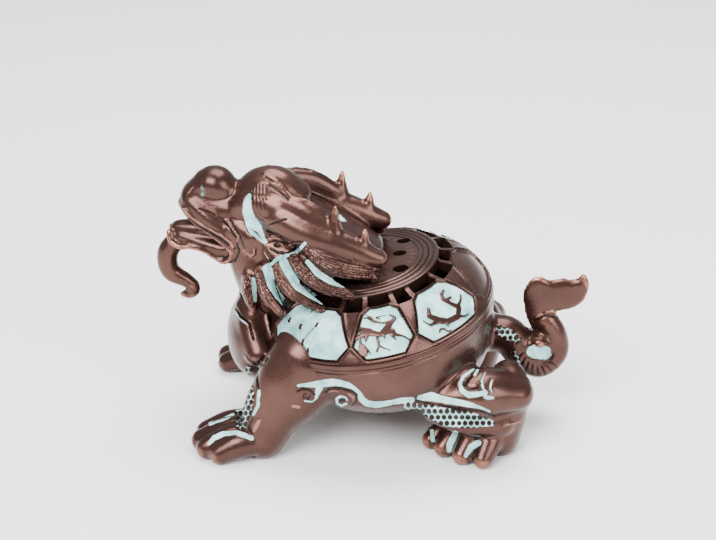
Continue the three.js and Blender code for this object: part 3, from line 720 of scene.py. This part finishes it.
headMarks = [
    # the long hollow of the cheek, the sheen beside the nose and the streak between the horns
    {"out": -0.5, "edge": 0.7, "patina": 0.95, "wearAndPaintedLight": 0, "lines": [
        [(249, 195, 2.4), (246.6, 203.6, 4), (247.2, 212, 4.6), (250.5, 221, 5.6), (254.5, 229, 7),
         (260, 235.5, 4.6), (264.5, 241, 2.6)],
        [(341.3, 218, 2.4), (349.8, 218, 2.8), (361.9, 222.9, 2.4), (370.4, 227.7, 2)],
    ]},
    {"out": 0, "edge": 1.6, "patina": 0.5, "lines": [[(201.5, 188, 4), (203.6, 194, 5)]]},
    {"out": 0.3, "edge": 0.5, "patina": 0.4, "wearAndPaintedLight": 0.3, "lines": [
        [(251, 229, 1), (257, 233, 1.4), (262, 240, 1)]]},
    # the rolled edge of the upper lip, coloured copper as painted highlight, and the rim of the mouth,
    # pressed in and painted dark as shade
    {"out": 0.55, "edge": 0.45, "wearAndPaintedLight": 1, "lines": [
        [(184, 208.4, 0.8), (190.2, 216, 0.9), (199.8, 223.7, 1), (211.2, 229.9, 1), (222.7, 236.1, 1),
         (230.4, 241.9, 1), (233.3, 247.5, 0.9)]]},
    {"out": -0.45, "edge": 0.4, "wearAndPaintedLight": -1, "lines": [
        [(189, 219, 0.8), (199.4, 226.6, 0.9), (211.2, 233, 1), (221.5, 239, 1), (228.4, 245, 1)],
        [(236.5, 243, 0.7), (239, 251, 0.8), (235, 260.6, 0.8), (227, 264.6, 0.7)],
        # folds behind the lip
        [(200, 209, 0.6), (207, 211, 0.8), (216, 215.4, 0.5)],
        [(223, 220.6, 0.6), (229.3, 228.6, 0.8), (235.8, 237, 0.8), (237.4, 243, 0.5)],
        [(228.5, 218.5, 0.5), (234.5, 227, 0.7), (240, 236, 0.7), (243.5, 246, 0.7), (248, 256, 0.6)],
        # the eye's lens and the line under the horn
        [(268.6, 242.4, 0.6), (274.7, 239.8, 0.7), (281, 241.4, 0.7), (291, 243, 0.6), (302, 242.4, 0.5)],
        [(270.5, 249, 0.7), (278.5, 252.6, 0.8), (290, 251.5, 0.8), (299, 247, 0.7), (305, 243, 0.5)],
        [(264.6, 251, 0.7), (268, 257, 0.9), (272, 262, 0.7)],
        [(268, 225, 0.5), (276, 221.5, 0.8), (286, 219, 0.6)],
    ]},
    # Raised edges of the eyelid, the lip's creases and the cheek's hook curl, coloured copper as painted
    # highlight.
    {"out": 0.5, "edge": 0.4, "wearAndPaintedLight": 0.9, "lines": [
        [(269.8, 239.4, 0.6), (274.7, 237.4, 0.7), (280.7, 239, 0.6)],
        [(201.7, 206.4, 0.6), (209, 208.8, 0.8), (216, 212.4, 0.6)],
        [(225.1, 219, 0.6), (231.3, 226.4, 0.8), (238, 235.6, 0.8), (236.8, 242, 0.6)],
        [(243.8, 249.5, 0.7), (246.7, 253.6, 0.9), (251.2, 256.4, 1), (255, 253.6, 0.9),
         (254.3, 249.5, 0.7)],
    ]},
    # The pit of the eye, painted dark as shade.
    {"out": -0.6, "edge": 0.5, "wearAndPaintedLight": -0.9, "lines": [[(276, 244.6, 1.8), (278.2, 244.6, 2)]]},
    # fine ribs fan over the brow, pressed in as grooves painted dark as shade
    {"out": -0.22, "edge": 0.22, "wearAndPaintedLight": -0.7, "lines": [
        [(252.6, 187, 0.4), (252, 197, 0.5), (253.5, 207, 0.5), (257, 217, 0.4)],
        [(255.6, 185, 0.4), (255.2, 195, 0.5), (256.6, 205, 0.5), (259.6, 214, 0.4)],
        [(258.8, 184, 0.4), (258.6, 194, 0.5), (259.8, 203, 0.5), (262.2, 211, 0.4)],
        [(262, 184, 0.4), (262, 193, 0.5), (263, 201, 0.5), (265, 208, 0.4)],
        [(265.2, 186, 0.4), (265.6, 194, 0.5), (266.6, 201, 0.4)],
        [(255, 219, 0.4), (258.5, 222.6, 0.5), (263.5, 224, 0.4)],
        [(257.6, 216.6, 0.4), (260.6, 219.6, 0.5), (265, 220.6, 0.4)],
        [(260.2, 214.2, 0.4), (263, 216.8, 0.5), (266.8, 217.4, 0.4)],
    ]},
    # the near edge of the crest plate, a groove painted dark as shade, and the plate's top edge, raised
    # and coloured copper as painted highlight
    {"out": -0.5, "edge": 0.6, "wearAndPaintedLight": -0.8, "lines": [
        [(266, 177.5, 0.7), (272, 184, 1), (279, 192, 1.2), (287, 199, 1)]]},
    {"out": 0.5, "edge": 0.6, "wearAndPaintedLight": 0.5, "lines": [
        [(263.8, 173.8, 0.8), (272, 178, 1), (282, 186, 1), (292, 197.5, 1), (309.8, 201, 1),
         (318.3, 207, 0.9), (325, 211, 0.8)]]},
]


def makeDragon():
    forms = [limb(neck, sides=32), limb(head["skull"], sides=32), limb(head["nose"]),
             limb(head["lipFront"]), limb(head["jaw"], sides=28), limb(head["tongue"]),
             limb(head["beard"]), limb(head["crest"])]
    forms += [limb(bed, sides=32) for bed in mane["beds"]]
    for side in (-1, 1):
        for name in ("lipRoll", "cheek", "brow", "plate", "horn"):
            forms.append(limb(sided(side, head[name])))
        forms += [limb(sided(side, lock), sides=24) for lock in mane["locks"]]
    piece = fused(forms, head["voxel"], 5, "dragon")
    rims = [piece]
    for side in (-1, 1):
        rims += [limb(sided(side, head[name]), step=1) for name in ("lipUpper", "lipLower")]
        rims += [limb(sided(side, spike), capRings=3, step=0.6) for spike in head["spikes"]]
    piece = fused(rims, head["voxel"], 2, "dragon")
    gap = hollowness(piece, 12)
    # Crests are coloured copper, partly rubbed metal and partly painted highlight; hollows are painted
    # dark as shade.
    setTones(piece, 0, 0.9 * ramp(0.04, 0.25, -gap) - ramp(0.06, 0.3, gap))
    refine(piece, nearMarks(piece, maneMarks + headMarks, 1.5))
    wearAndPaintedLight = readTone(piece, "wearAndPaintedLight")
    patina, wearAndPaintedLight = pressMarks(piece, headMarks + maneMarks, np.zeros(len(wearAndPaintedLight)), wearAndPaintedLight)
    print("dragon", len(piece.data.polygons))
    return setTones(piece, patina, wearAndPaintedLight)


def makeLid():
    lid = makeShell()
    combine(lid, makeDragon())
    hollow = turnedSolid(shell["hollow"], 96, 60, fromSeam, "hollow")
    # The cut inside takes a little patina and is painted darker as shade.
    combine(lid, setTones(hollow, 0.1, -0.5), "DIFFERENCE")
    thinned(lid, mostTriangles)
    lid.name = "burnerLid"
    print("lid", len(lid.data.polygons))
    return lid


# The bowl with its chest, legs and tail

bowl = {
    # share of the rim's size, height over the ground
    "profile": [(0, 17), (0.5, 18), (0.72, 21), (0.86, 25), (0.95, 31), (0.99, 38), (1, 48), (1, 90),
                (0, 90)],
    "longRadius": 49 * math.cos(math.radians(10)), "inset": 3.0, "floorLift": 3.5,
    "chest": [(-36, 0, 24, 20, 12), (-41.5, 0, 33, 27, 14), (-41.5, 0, 44, 29, 14),
              (-41.5, 0, 53, 20, 10)],
    "collar": [(-47, 10, 52, 5, 5), (-43.5, 21, 47, 5, 5.5), (-39.5, 29, 39.5, 4.6, 6)],
    "shoulders": [(-29, -34, 34, 9, 8), (-31, 0, 33, 10, 8), (-29, 34, 34, 9, 8)],
    "voxel": 0.95,
}
legs = {
    "fore": [(-17, 37, 42, 14, 17), (-24, 40, 32, 12, 16), (-33, 40.5, 19, 10.5, 12.5),
             (-37, 40, 8, 11, 10)],
    "foreToes": [[(-40, 31, 9), (-62, 33, 4.2)], [(-40, 36, 9), (-63, 40, 4.2)],
                 [(-39, 41.5, 8.5), (-60, 46, 4.2)], [(-36, 45, 8), (-54, 50, 4.2)]],
    "foreToeThick": 5.4,
    "thigh": [(66, 33, 29, 11, 8), (50, 40, 31, 11, 10), (33, 42, 29, 8, 5.5)],
    "shin": [(33, 41, 23, 7, 4.5), (46, 41, 19, 8, 6), (60, 36, 17, 9, 8)],
    "heel": [(64, 28, 31, 11, 8), (65, 29, 19, 11, 7.6), (61, 31, 6, 11, 9)],
    "hindToes": [[(46, 24, 9), (33, 33, 3.6)], [(50, 28, 10), (38, 39, 3.8)],
                 [(55, 32, 11), (45.5, 44.5, 3.8)], [(61, 34, 11), (54, 47, 3.8)]],
    "hindToeThick": 4.8,
    "farPaw": (0, -5, 0), "farHock": (-9, -1, 0),
}
tail = {
    "coil": [(54, 0, 38, 8.5, 8), (64, 0, 37.5, 8.5, 8), (71, 0, 29.5, 8.5, 8), (79, 0, 23.6, 7, 6),
             (86, 0, 30, 6, 5), (84.5, 0, 39, 5.5, 5), (80, 0, 45, 5, 5.5)],
    "eye": [(77.6, -3, 33.4, 6.4, 6.4), (77.6, 3, 33.4, 6.4, 6.4)],
    "leaf": [[(79, 0, 42, 2.4, 5), (77.6, 0, 50, 2.3, 6.8), (79.3, 0, 58.4, 2.2, 8.4),
              (81, 0, 60.6, 2, 7.4)],
             [(80, 0, 56.4, 2.2, 7), (86, 0, 57, 2.2, 7.6), (91.2, 0, 58.6, 2.2, 6.8),
              (94.2, 0, 61, 2.2, 4.4)],
             [(92.4, 0, 58.6, 2.3, 4.4), (94.8, 0, 62, 2, 3.2), (94.8, 0, 65.4, 1.5, 1.6)]],
}
bodyMarks = [
    # the pale cloud band along the belly, running on over the hind leg
    {"out": -0.35, "edge": 0.5, "patina": 1, "wearAndPaintedLight": 0, "lines": [
        [(298.4, 385.8, 1.4), (311.8, 384.9, 2.6), (324.3, 383.4, 3.8), (335, 382.4, 3.4),
         (347.5, 385, 2.8), (354.6, 389.2, 2), (359.1, 394.3, 2.8), (361.8, 399.6, 3), (367.1, 404, 3.2),
         (374.3, 405, 3.4), (383.2, 404.4, 2.6), (392.1, 402.8, 2.4), (402, 401, 2.8), (412, 400, 2.6)],
        [(320, 387, 3.4), (317.6, 393, 2.4), (316.3, 397.4, 1.4)],
        [(420.2, 398.4, 3), (431.8, 396.6, 4), (445.2, 400, 3.4), (458.6, 402.7, 3), (472, 405.4, 2.4),
         (480.9, 408, 1.5), (489.8, 411.6, 1)],
        # round the swirl of the hind leg
        [(478.2, 366.1, 0.8), (471.1, 370.5, 1.2), (463, 376.8, 1.2), (459.8, 383.9, 1.6),
         (462.1, 391.1, 2.2), (469.3, 395, 3), (478.2, 394.2, 2.6), (486, 392, 2)],
        [(477.8, 368.4, 1.6), (475, 375.4, 1)],
        [(485.4, 372.3, 0.5), (481.8, 379.5, 0.8), (482.7, 387.5, 1), (486, 392, 1)],
        [(491.6, 379.5, 0.5), (490.2, 388, 0.8), (492.5, 392.9, 0.6)],
    ]},
    {"out": 0, "edge": 1.5, "patina": 0.6, "lines": [[(486, 397.5, 4), (492, 398, 3)]]},
    # scales on the shins, with a pale net between them
    {"out": 0.4, "edge": 0.3, "patina": 0.8, "wearAndPaintedLight": -0.8, "scales": 6, "lines": [
        [(408, 406, 4), (425, 410, 5.4), (445, 417, 9.4), (465, 420, 8.6), (480, 421, 6.6),
         (492, 423.4, 3)]]},
    {"out": 0.4, "edge": 0.3, "patina": 0.6, "wearAndPaintedLight": -0.8, "scales": 5.4, "lines": [
        [(248, 369, 3), (247.2, 381.5, 4.6), (246.4, 396, 8), (243.6, 412, 8.4), (241, 424, 6)]]},
    # Pressed lines on the chest, the legs and their swirls, painted dark as shade in the grooves.
    {"out": -0.5, "edge": 0.4, "wearAndPaintedLight": -1, "patina": 0, "lines": [
        [(416.6, 401, 0.8), (427.3, 403.8, 1.1), (440.7, 405.8, 1.2), (454.1, 408.2, 1.2),
         (467.5, 410, 1.3), (480.9, 411.8, 1.3), (494.3, 417, 1)],
        [(296.6, 391, 0.7), (302.9, 388.4, 1), (310, 390.2, 1.2), (315.4, 395.2, 0.9)],
        [(310.6, 396, 0.8), (308, 399, 0.9), (303.6, 398, 0.8), (303.8, 394.6, 0.7), (306.6, 393.8, 0.6)],
        [(324.3, 392.5, 0.8), (329.6, 388.6, 1.1), (340.4, 388.4, 1.2), (351.1, 391, 1.2),
         (356.6, 395.6, 1.1), (356, 401.4, 0.9), (352, 405, 0.7)],
        [(339, 400.5, 1.4), (343, 400.2, 1.6)],
        [(471.1, 375, 1.2), (466.6, 379.5, 1.6), (464.9, 385.7, 1.8), (469.3, 389, 2), (476.4, 388, 1.8),
         (480, 383, 1.2)],
        [(264, 355, 0.6), (258, 365, 0.9), (257.4, 380, 1), (259.6, 396, 0.9)],
        [(253, 418.8, 0.7), (248.6, 427, 1), (251.4, 434, 0.8)],
        [(244.7, 354, 0.7), (249.7, 360.6, 1), (256.3, 365, 1.1), (264.6, 363.4, 1), (268, 357.4, 0.7)],
        [(234, 306, 0.7), (241, 316, 0.9), (249.5, 323, 1), (253.4, 339, 0.8)],
    ]},
    {"out": 0.3, "edge": 0.4, "patina": 0.85, "wearAndPaintedLight": 0, "lines": [
        [(346.6, 403, 0.9), (342, 405.6, 1), (337, 403.4, 1.1), (336.8, 398.6, 1.2), (341, 396, 1.2),
         (346, 397.2, 1.1), (347.4, 400, 0.9)],
        [(317, 397.9, 0.7), (311.8, 401.6, 0.9), (304.6, 400.8, 0.8)],
        [(258.8, 391, 1.2), (258.4, 405, 1.6), (253.6, 414.6, 1.4)],
        [(234.4, 309, 0.5), (239.5, 318.4, 0.7), (247.6, 325, 0.7)],
    ]},
    # Raised arcs in the swirls, the foreleg's leaf and small patches, coloured copper as painted
    # highlight.
    {"out": 0.35, "edge": 0.5, "wearAndPaintedLight": 1, "patina": 0, "lines": [
        [(328, 391.6, 0.7), (333, 390.4, 0.9), (338.6, 390.8, 0.7)],
        [(348.6, 393.6, 0.9), (353.4, 397, 1.1), (354, 400.6, 0.8)],
        [(467, 384.6, 0.8), (470.6, 386.6, 1.1), (475.4, 385.6, 0.8)],
        [(259.4, 420.4, 1.6), (256.3, 426.2, 2.2), (254, 431, 1.4)],
        [(503.2, 426.3, 0.5), (512, 423.6, 0.6), (520.2, 421, 0.5)],
        [(293, 406, 1.4), (299, 407, 1.6)],
    ]},
    # pale hollows between the toes
    {"out": -0.2, "edge": 0.6, "patina": 1, "wearAndPaintedLight": 0, "lines": [
        [(455, 434, 3), (450, 443.8, 3), (448.8, 451, 2)],
        [(478.2, 442.9, 3), (471.1, 447.3, 3), (465.7, 456, 2)],
        [(431.8, 431, 2), (432.7, 440.2, 2)],
        [(233.1, 414.6, 1.4), (221.5, 419.6, 1.8), (209.9, 423.7, 1.4)],
        [(251.4, 438, 2.4), (236.4, 432.4, 2.2), (223.2, 433.7, 2.4), (214, 437.8, 2.4),
         (209.1, 443.5, 1.4)],
    ]},
    # the tail: flecks, ribs round a pale eye, and the collar of the leaf
    {"out": 0.45, "edge": 0.5, "patina": 0.62, "wearAndPaintedLight": -0.8, "scales": 5.4, "lines": [
        [(499, 330, 5), (510, 335, 6), (518, 341, 3)],
        [(514, 352, 2.4), (518, 361, 3)],
    ]},
    # The ribs are pressed grooves, painted dark as shade.
    {"out": -0.4, "edge": 0.3, "wearAndPaintedLight": -0.9, "lines": [
        [(524, 352, 0.6), (518, 357, 0.9)],
        [(525.5, 357, 0.6), (520.5, 364.5, 0.9)],
        [(528.5, 361.5, 0.6), (525, 370, 0.9)],
        [(532.5, 364.5, 0.6), (531, 373, 0.9)],
        [(537, 366, 0.6), (537.5, 374.5, 0.9)],
        [(541.5, 366, 0.6), (544.5, 374, 0.9)],
        [(546, 364.5, 0.6), (551, 371.5, 0.9)],
        [(550, 361.5, 0.6), (556.5, 367, 0.9)],
    ]},
    {"out": -1.0, "edge": 1.2, "patina": 1, "wearAndPaintedLight": 0, "lines": [[(535, 352, 7.4), (545, 353, 7)]]},
    # A painted highlight on the coil over the eye.
    {"out": 0.9, "edge": 0.6, "patina": 0, "wearAndPaintedLight": 1.6, "lines": [[(538, 343.6, 3), (540.4, 344.4, 3)]]},
    {"out": 0.5, "edge": 0.4, "wearAndPaintedLight": 1, "patina": 0, "lines": [
        [(546.7, 311.7, 0.8), (552.8, 311, 0.9), (558.1, 314, 0.8)],
        [(535.9, 317, 0.6), (542, 314.6, 0.8)],
    ]},
    # The collar's groove, painted dark as shade.
    {"out": -0.45, "edge": 0.4, "wearAndPaintedLight": -0.9, "lines": [
        [(534, 321, 0.7), (545, 315, 0.9), (557, 316.6, 0.8)]]},
]


def toe(side, root, tip, thick, shift):
    root, tip = np.array(root, float), np.array(tip, float)
    middle = root * 0.45 + tip * 0.55 + (0, 0, 1.6)
    stations = [(*root, thick, thick), (*middle, thick, thick * 1.1), (*tip, thick * 0.85, thick * 0.9)]
    return limb(sided(side, stations, shift), sides=20)


def makeBody():
    def onBowl(inset, lift):
        def place(x, y, height):
            return np.stack([shell["seamX"] + x, y * shell["widthRatio"], height + lift], axis=-1)

        profile = [(max(share * bowl["longRadius"] - (inset if share else 0), 0), height)
                   for share, height in bowl["profile"]]
        return turnedSolid(profile, 120, 90, place, "bowl")

    forms = [onBowl(0, 0), limb(bowl["chest"], sides=32), limb(tail["coil"], sides=28),
             limb(bowl["shoulders"], across=(1, 0, 0))]
    for side in (-1, 1):
        shifts = [(0, 0, 0)] * 2 if side < 0 else [legs["farPaw"], legs["farHock"]]
        forms.append(limb(sided(side, bowl["collar"])))
        forms.append(limb(sided(side, legs["fore"], shifts[0]), sides=28))
        for name in ("thigh", "shin", "heel"):
            forms.append(limb(sided(side, legs[name], shifts[1]), sides=28))
    piece = fused(forms, bowl["voxel"], 10, "body")
    parts = [piece, limb(tail["eye"], across=(1, 0, 0))]
    parts += [limb(blade, step=1) for blade in tail["leaf"]]
    for side in (-1, 1):
        shifts = [(0, 0, 0)] * 2 if side < 0 else [legs["farPaw"], legs["farHock"]]
        for root, tip in legs["foreToes"]:
            parts.append(toe(side, root, tip, legs["foreToeThick"], shifts[0]))
        for root, tip in legs["hindToes"]:
            parts.append(toe(side, root, tip, legs["hindToeThick"], shifts[1]))
    piece = fused(parts, bowl["voxel"], 2, "body")
    gap = hollowness(piece, 12)
    # Crests are coloured copper, partly rubbed metal and partly painted highlight; hollows are painted
    # dark as shade.
    setTones(piece, 0, 0.9 * ramp(0.05, 0.3, -gap) - ramp(0.08, 0.4, gap))
    refine(piece, nearMarks(piece, bodyMarks, 1.5))
    wearAndPaintedLight = readTone(piece, "wearAndPaintedLight")
    patina, wearAndPaintedLight = pressMarks(piece, bodyMarks, np.zeros(len(wearAndPaintedLight)), wearAndPaintedLight)
    setTones(piece, patina, wearAndPaintedLight)
    print("body forms", len(piece.data.polygons))
    bpy.ops.object.select_all(action="DESELECT")
    bpy.ops.mesh.primitive_cube_add(size=1, location=(0, 0, -20), scale=(400, 400, 40))
    ground = bpy.context.object
    bpy.ops.mesh.primitive_cube_add(size=1, scale=(200, 200, 100))
    overSeam = bpy.context.object
    places = readPoints(overSeam) + (0, 0, 50)
    writePoints(overSeam, fromSeam(places[:, 0], places[:, 1], places[:, 2]))
    combine(piece, ground, "DIFFERENCE")
    rearOnly = bowlRoom()
    combine(overSeam, rearOnly, "INTERSECT")
    combine(piece, overSeam, "DIFFERENCE")
    hollow = onBowl(bowl["inset"], bowl["floorLift"])
    # The cut inside takes a little patina and is painted darker as shade.
    combine(piece, setTones(hollow, 0.1, -0.5), "DIFFERENCE")
    room = limb([(x, y, z, wide + 0.5, deep + 0.5) for x, y, z, wide, deep in neck], sides=32)
    combine(piece, room, "DIFFERENCE")
    thinned(piece, mostTriangles)
    piece.name = "burnerBody"
    print("body", len(piece.data.polygons))
    return piece


# The room that the lid takes over the seam: the bowl's oval with a little clearance.
def bowlRoom():
    def place(x, y, height):
        return np.stack([shell["seamX"] + x, y * shell["widthRatio"], height], axis=-1)

    radius = bowl["longRadius"] + 0.6
    return turnedSolid([(0, 10), (radius, 10), (radius, 140), (0, 140)], 120, 40, place, "room")


# Finishes

# The near-black colour is for dark tone and for painted shade in hollows, grooves and holes; the copper is
# for rubbed metal and for painted highlights on crests and raised edges.
bronze = {
    "brown": (0.062, 0.029, 0.023, 1), "brownLight": (0.1, 0.046, 0.036, 1),
    "copper": (0.3, 0.13, 0.095, 1), "darkToneAndShade": (0.014, 0.01, 0.009, 1),
    "bloomPale": (0.5, 0.82, 0.79, 1), "bloomDeep": (0.2, 0.45, 0.46, 1),
    "metal": 0.8, "rough": 0.27, "bloomRough": 0.62,
}


def agedBronze(name):
    material = bpy.data.materials.new(name)
    material.use_nodes = True
    nodes, links = material.node_tree.nodes, material.node_tree.links
    shader = nodes["Principled BSDF"]

    def node(kind, **inputs):
        made = nodes.new(kind)
        for key, value in inputs.items():
            made.inputs[key.replace("_", " ")].default_value = value
        return made

    def mixed(factor, first, second):
        mix = nodes.new("ShaderNodeMix")
        mix.data_type = "RGBA"
        for socket, value in ((mix.inputs["Factor"], factor), (mix.inputs["A"], first),
                              (mix.inputs["B"], second)):
            put(socket, value)
        return mix.outputs["Result"]

    def put(socket, value):
        if isinstance(value, bpy.types.NodeSocket):
            links.new(value, socket)
        else:
            socket.default_value = value

    def sums(operation, *values, clamp=False):
        math_ = nodes.new("ShaderNodeMath")
        math_.operation = operation
        math_.use_clamp = clamp
        for socket, value in zip(math_.inputs, values):
            put(socket, value)
        return math_.outputs[0]

    def stepped(value, low, high, out=(0, 1)):
        ranged = nodes.new("ShaderNodeMapRange")
        ranged.interpolation_type = "SMOOTHSTEP"
        for key, number in (("From Min", low), ("From Max", high), ("To Min", out[0]), ("To Max", out[1])):
            ranged.inputs[key].default_value = number
        links.new(value, ranged.inputs["Value"])
        return ranged.outputs["Result"]

    place = nodes.new("ShaderNodeTexCoord").outputs["Object"]

    def noise(scale, detail, roughness=0.55):
        made = node("ShaderNodeTexNoise", Scale=scale, Detail=detail, Roughness=roughness)
        links.new(place, made.inputs["Vector"])
        return made.outputs["Fac"]

    def tone(key):
        made = nodes.new("ShaderNodeAttribute")
        made.attribute_name = key
        return made.outputs["Fac"]

    broad, blotch, grain = noise(38, 3), noise(160, 4), noise(900, 3)
    wobble = sums("MULTIPLY", sums("SUBTRACT", blotch, 0.5), 0.9)
    bloom = stepped(sums("ADD", tone("patina"), wobble), 0.35, 0.62)
    wearAndPaintedLight = tone("wearAndPaintedLight")
    # Above 0 the second tone turns the brown to copper, for rubbed metal and painted highlights; below 0
    # it turns it near black, for dark tone and painted shade in hollows and grooves.
    rubbedAndHighlight = stepped(sums("ADD", wearAndPaintedLight, sums("MULTIPLY", sums("SUBTRACT", broad, 0.5), 1.1)), 0.25, 0.9)
    darkToneAndShadeMask = stepped(sums("MULTIPLY", wearAndPaintedLight, -1.0), 0.1, 0.9)
    brown = mixed(stepped(broad, 0.35, 0.75), bronze["brown"], bronze["brownLight"])
    brown = mixed(rubbedAndHighlight, brown, bronze["copper"])
    brown = mixed(darkToneAndShadeMask, brown, bronze["darkToneAndShade"])
    pale = mixed(stepped(blotch, 0.3, 0.7), bronze["bloomDeep"], bronze["bloomPale"])
    links.new(mixed(bloom, brown, pale), shader.inputs["Base Color"])
    links.new(stepped(bloom, 0, 1, (bronze["metal"], 0)), shader.inputs["Metallic"])
    rough = sums("ADD", stepped(bloom, 0, 1, (bronze["rough"], bronze["bloomRough"])),
                 sums("MULTIPLY", sums("SUBTRACT", blotch, 0.5), 0.18))
    links.new(rough, shader.inputs["Roughness"])
    relief = node("ShaderNodeBump", Strength=0.12, Distance=0.0004)
    links.new(grain, relief.inputs["Height"])
    links.new(relief.outputs["Normal"], shader.inputs["Normal"])
    return material


# Brings a piece from the drawing's millimetres to the frame's metres.
def intoFrame(piece, node, slot):
    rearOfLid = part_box("shell_lid")[1].x / metresPerMm
    shift = rearOfLid - lidReach
    selectOnly(piece)
    points = (readPoints(piece) + (shift, 0, 0)) * metresPerMm
    writePoints(piece, points)
    bpy.ops.object.shade_smooth_by_angle(angle=math.radians(38))
    piece.data.materials.clear()
    piece.data.materials.append(agedBronze(slot.replace("_", " ")))
    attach(piece, "root")
    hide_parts(node)


lidReach = 57.4386


# Floor, light and camera

stage = {
    "cameraHeight": 25.0, "cameraTurn": 3.5, "distance": 0.6, "target": (0.0, 0.0, 0.066), "lens": 71.2,
    "floor": (0.96, 0.96, 0.96, 1),
}


def makeStage():
    bpy.ops.object.select_all(action="DESELECT")
    bpy.ops.mesh.primitive_grid_add(x_subdivisions=40, y_subdivisions=40, size=6)
    floor = bpy.context.object
    floor.name = "floor"
    paper = bpy.data.materials.new("pale floor")
    paper.use_nodes = True
    paper.node_tree.nodes["Principled BSDF"].inputs["Base Color"].default_value = stage["floor"]
    paper.node_tree.nodes["Principled BSDF"].inputs["Roughness"].default_value = 0.9
    floor.data.materials.append(paper)
    shift = (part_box("shell_lid")[1].x / metresPerMm - lidReach) * metresPerMm
    turn, rise = math.radians(stage["cameraTurn"]), math.radians(stage["cameraHeight"])
    back = Vector((math.sin(turn) * math.cos(rise), -math.cos(turn) * math.cos(rise), math.sin(rise)))
    target = Vector(stage["target"]) + Vector((shift, 0, 0))
    bpy.ops.object.camera_add(location=target + back * stage["distance"])
    camera = bpy.context.object
    camera.rotation_euler = back.to_track_quat("Z", "Y").to_euler()
    camera.data.lens = stage["lens"]
    camera.data.sensor_width = 36
    bpy.context.scene.camera = camera
    lights = {
        "key": ((-0.5, -0.9, 1.1), 0.8, 38), "fill": ((0.9, -0.7, 0.6), 0.7, 13),
        "top": ((0.1, 0.4, 1.3), 1.0, 31),
    }
    for name, (place, size, power) in lights.items():
        bpy.ops.object.light_add(type="AREA", location=place)
        lamp = bpy.context.object
        lamp.name = name
        lamp.data.size = size
        lamp.data.energy = power
        lamp.rotation_euler = (Vector(place) - Vector((0, 0, 0.05))).to_track_quat("Z", "Y").to_euler()
    world = bpy.data.worlds.new("studio")
    world.use_nodes = True
    world.node_tree.nodes["Background"].inputs["Color"].default_value = (1, 1, 1, 1)
    world.node_tree.nodes["Background"].inputs["Strength"].default_value = 0.55
    bpy.context.scene.world = world


makeStage()
print("stage set")
lid = makeLid()
intoFrame(lid, "shell_lid", "aged_bronze_lid")
print("lid done")
body = makeBody()
intoFrame(body, "burner_body", "aged_bronze_body")
print("body done")
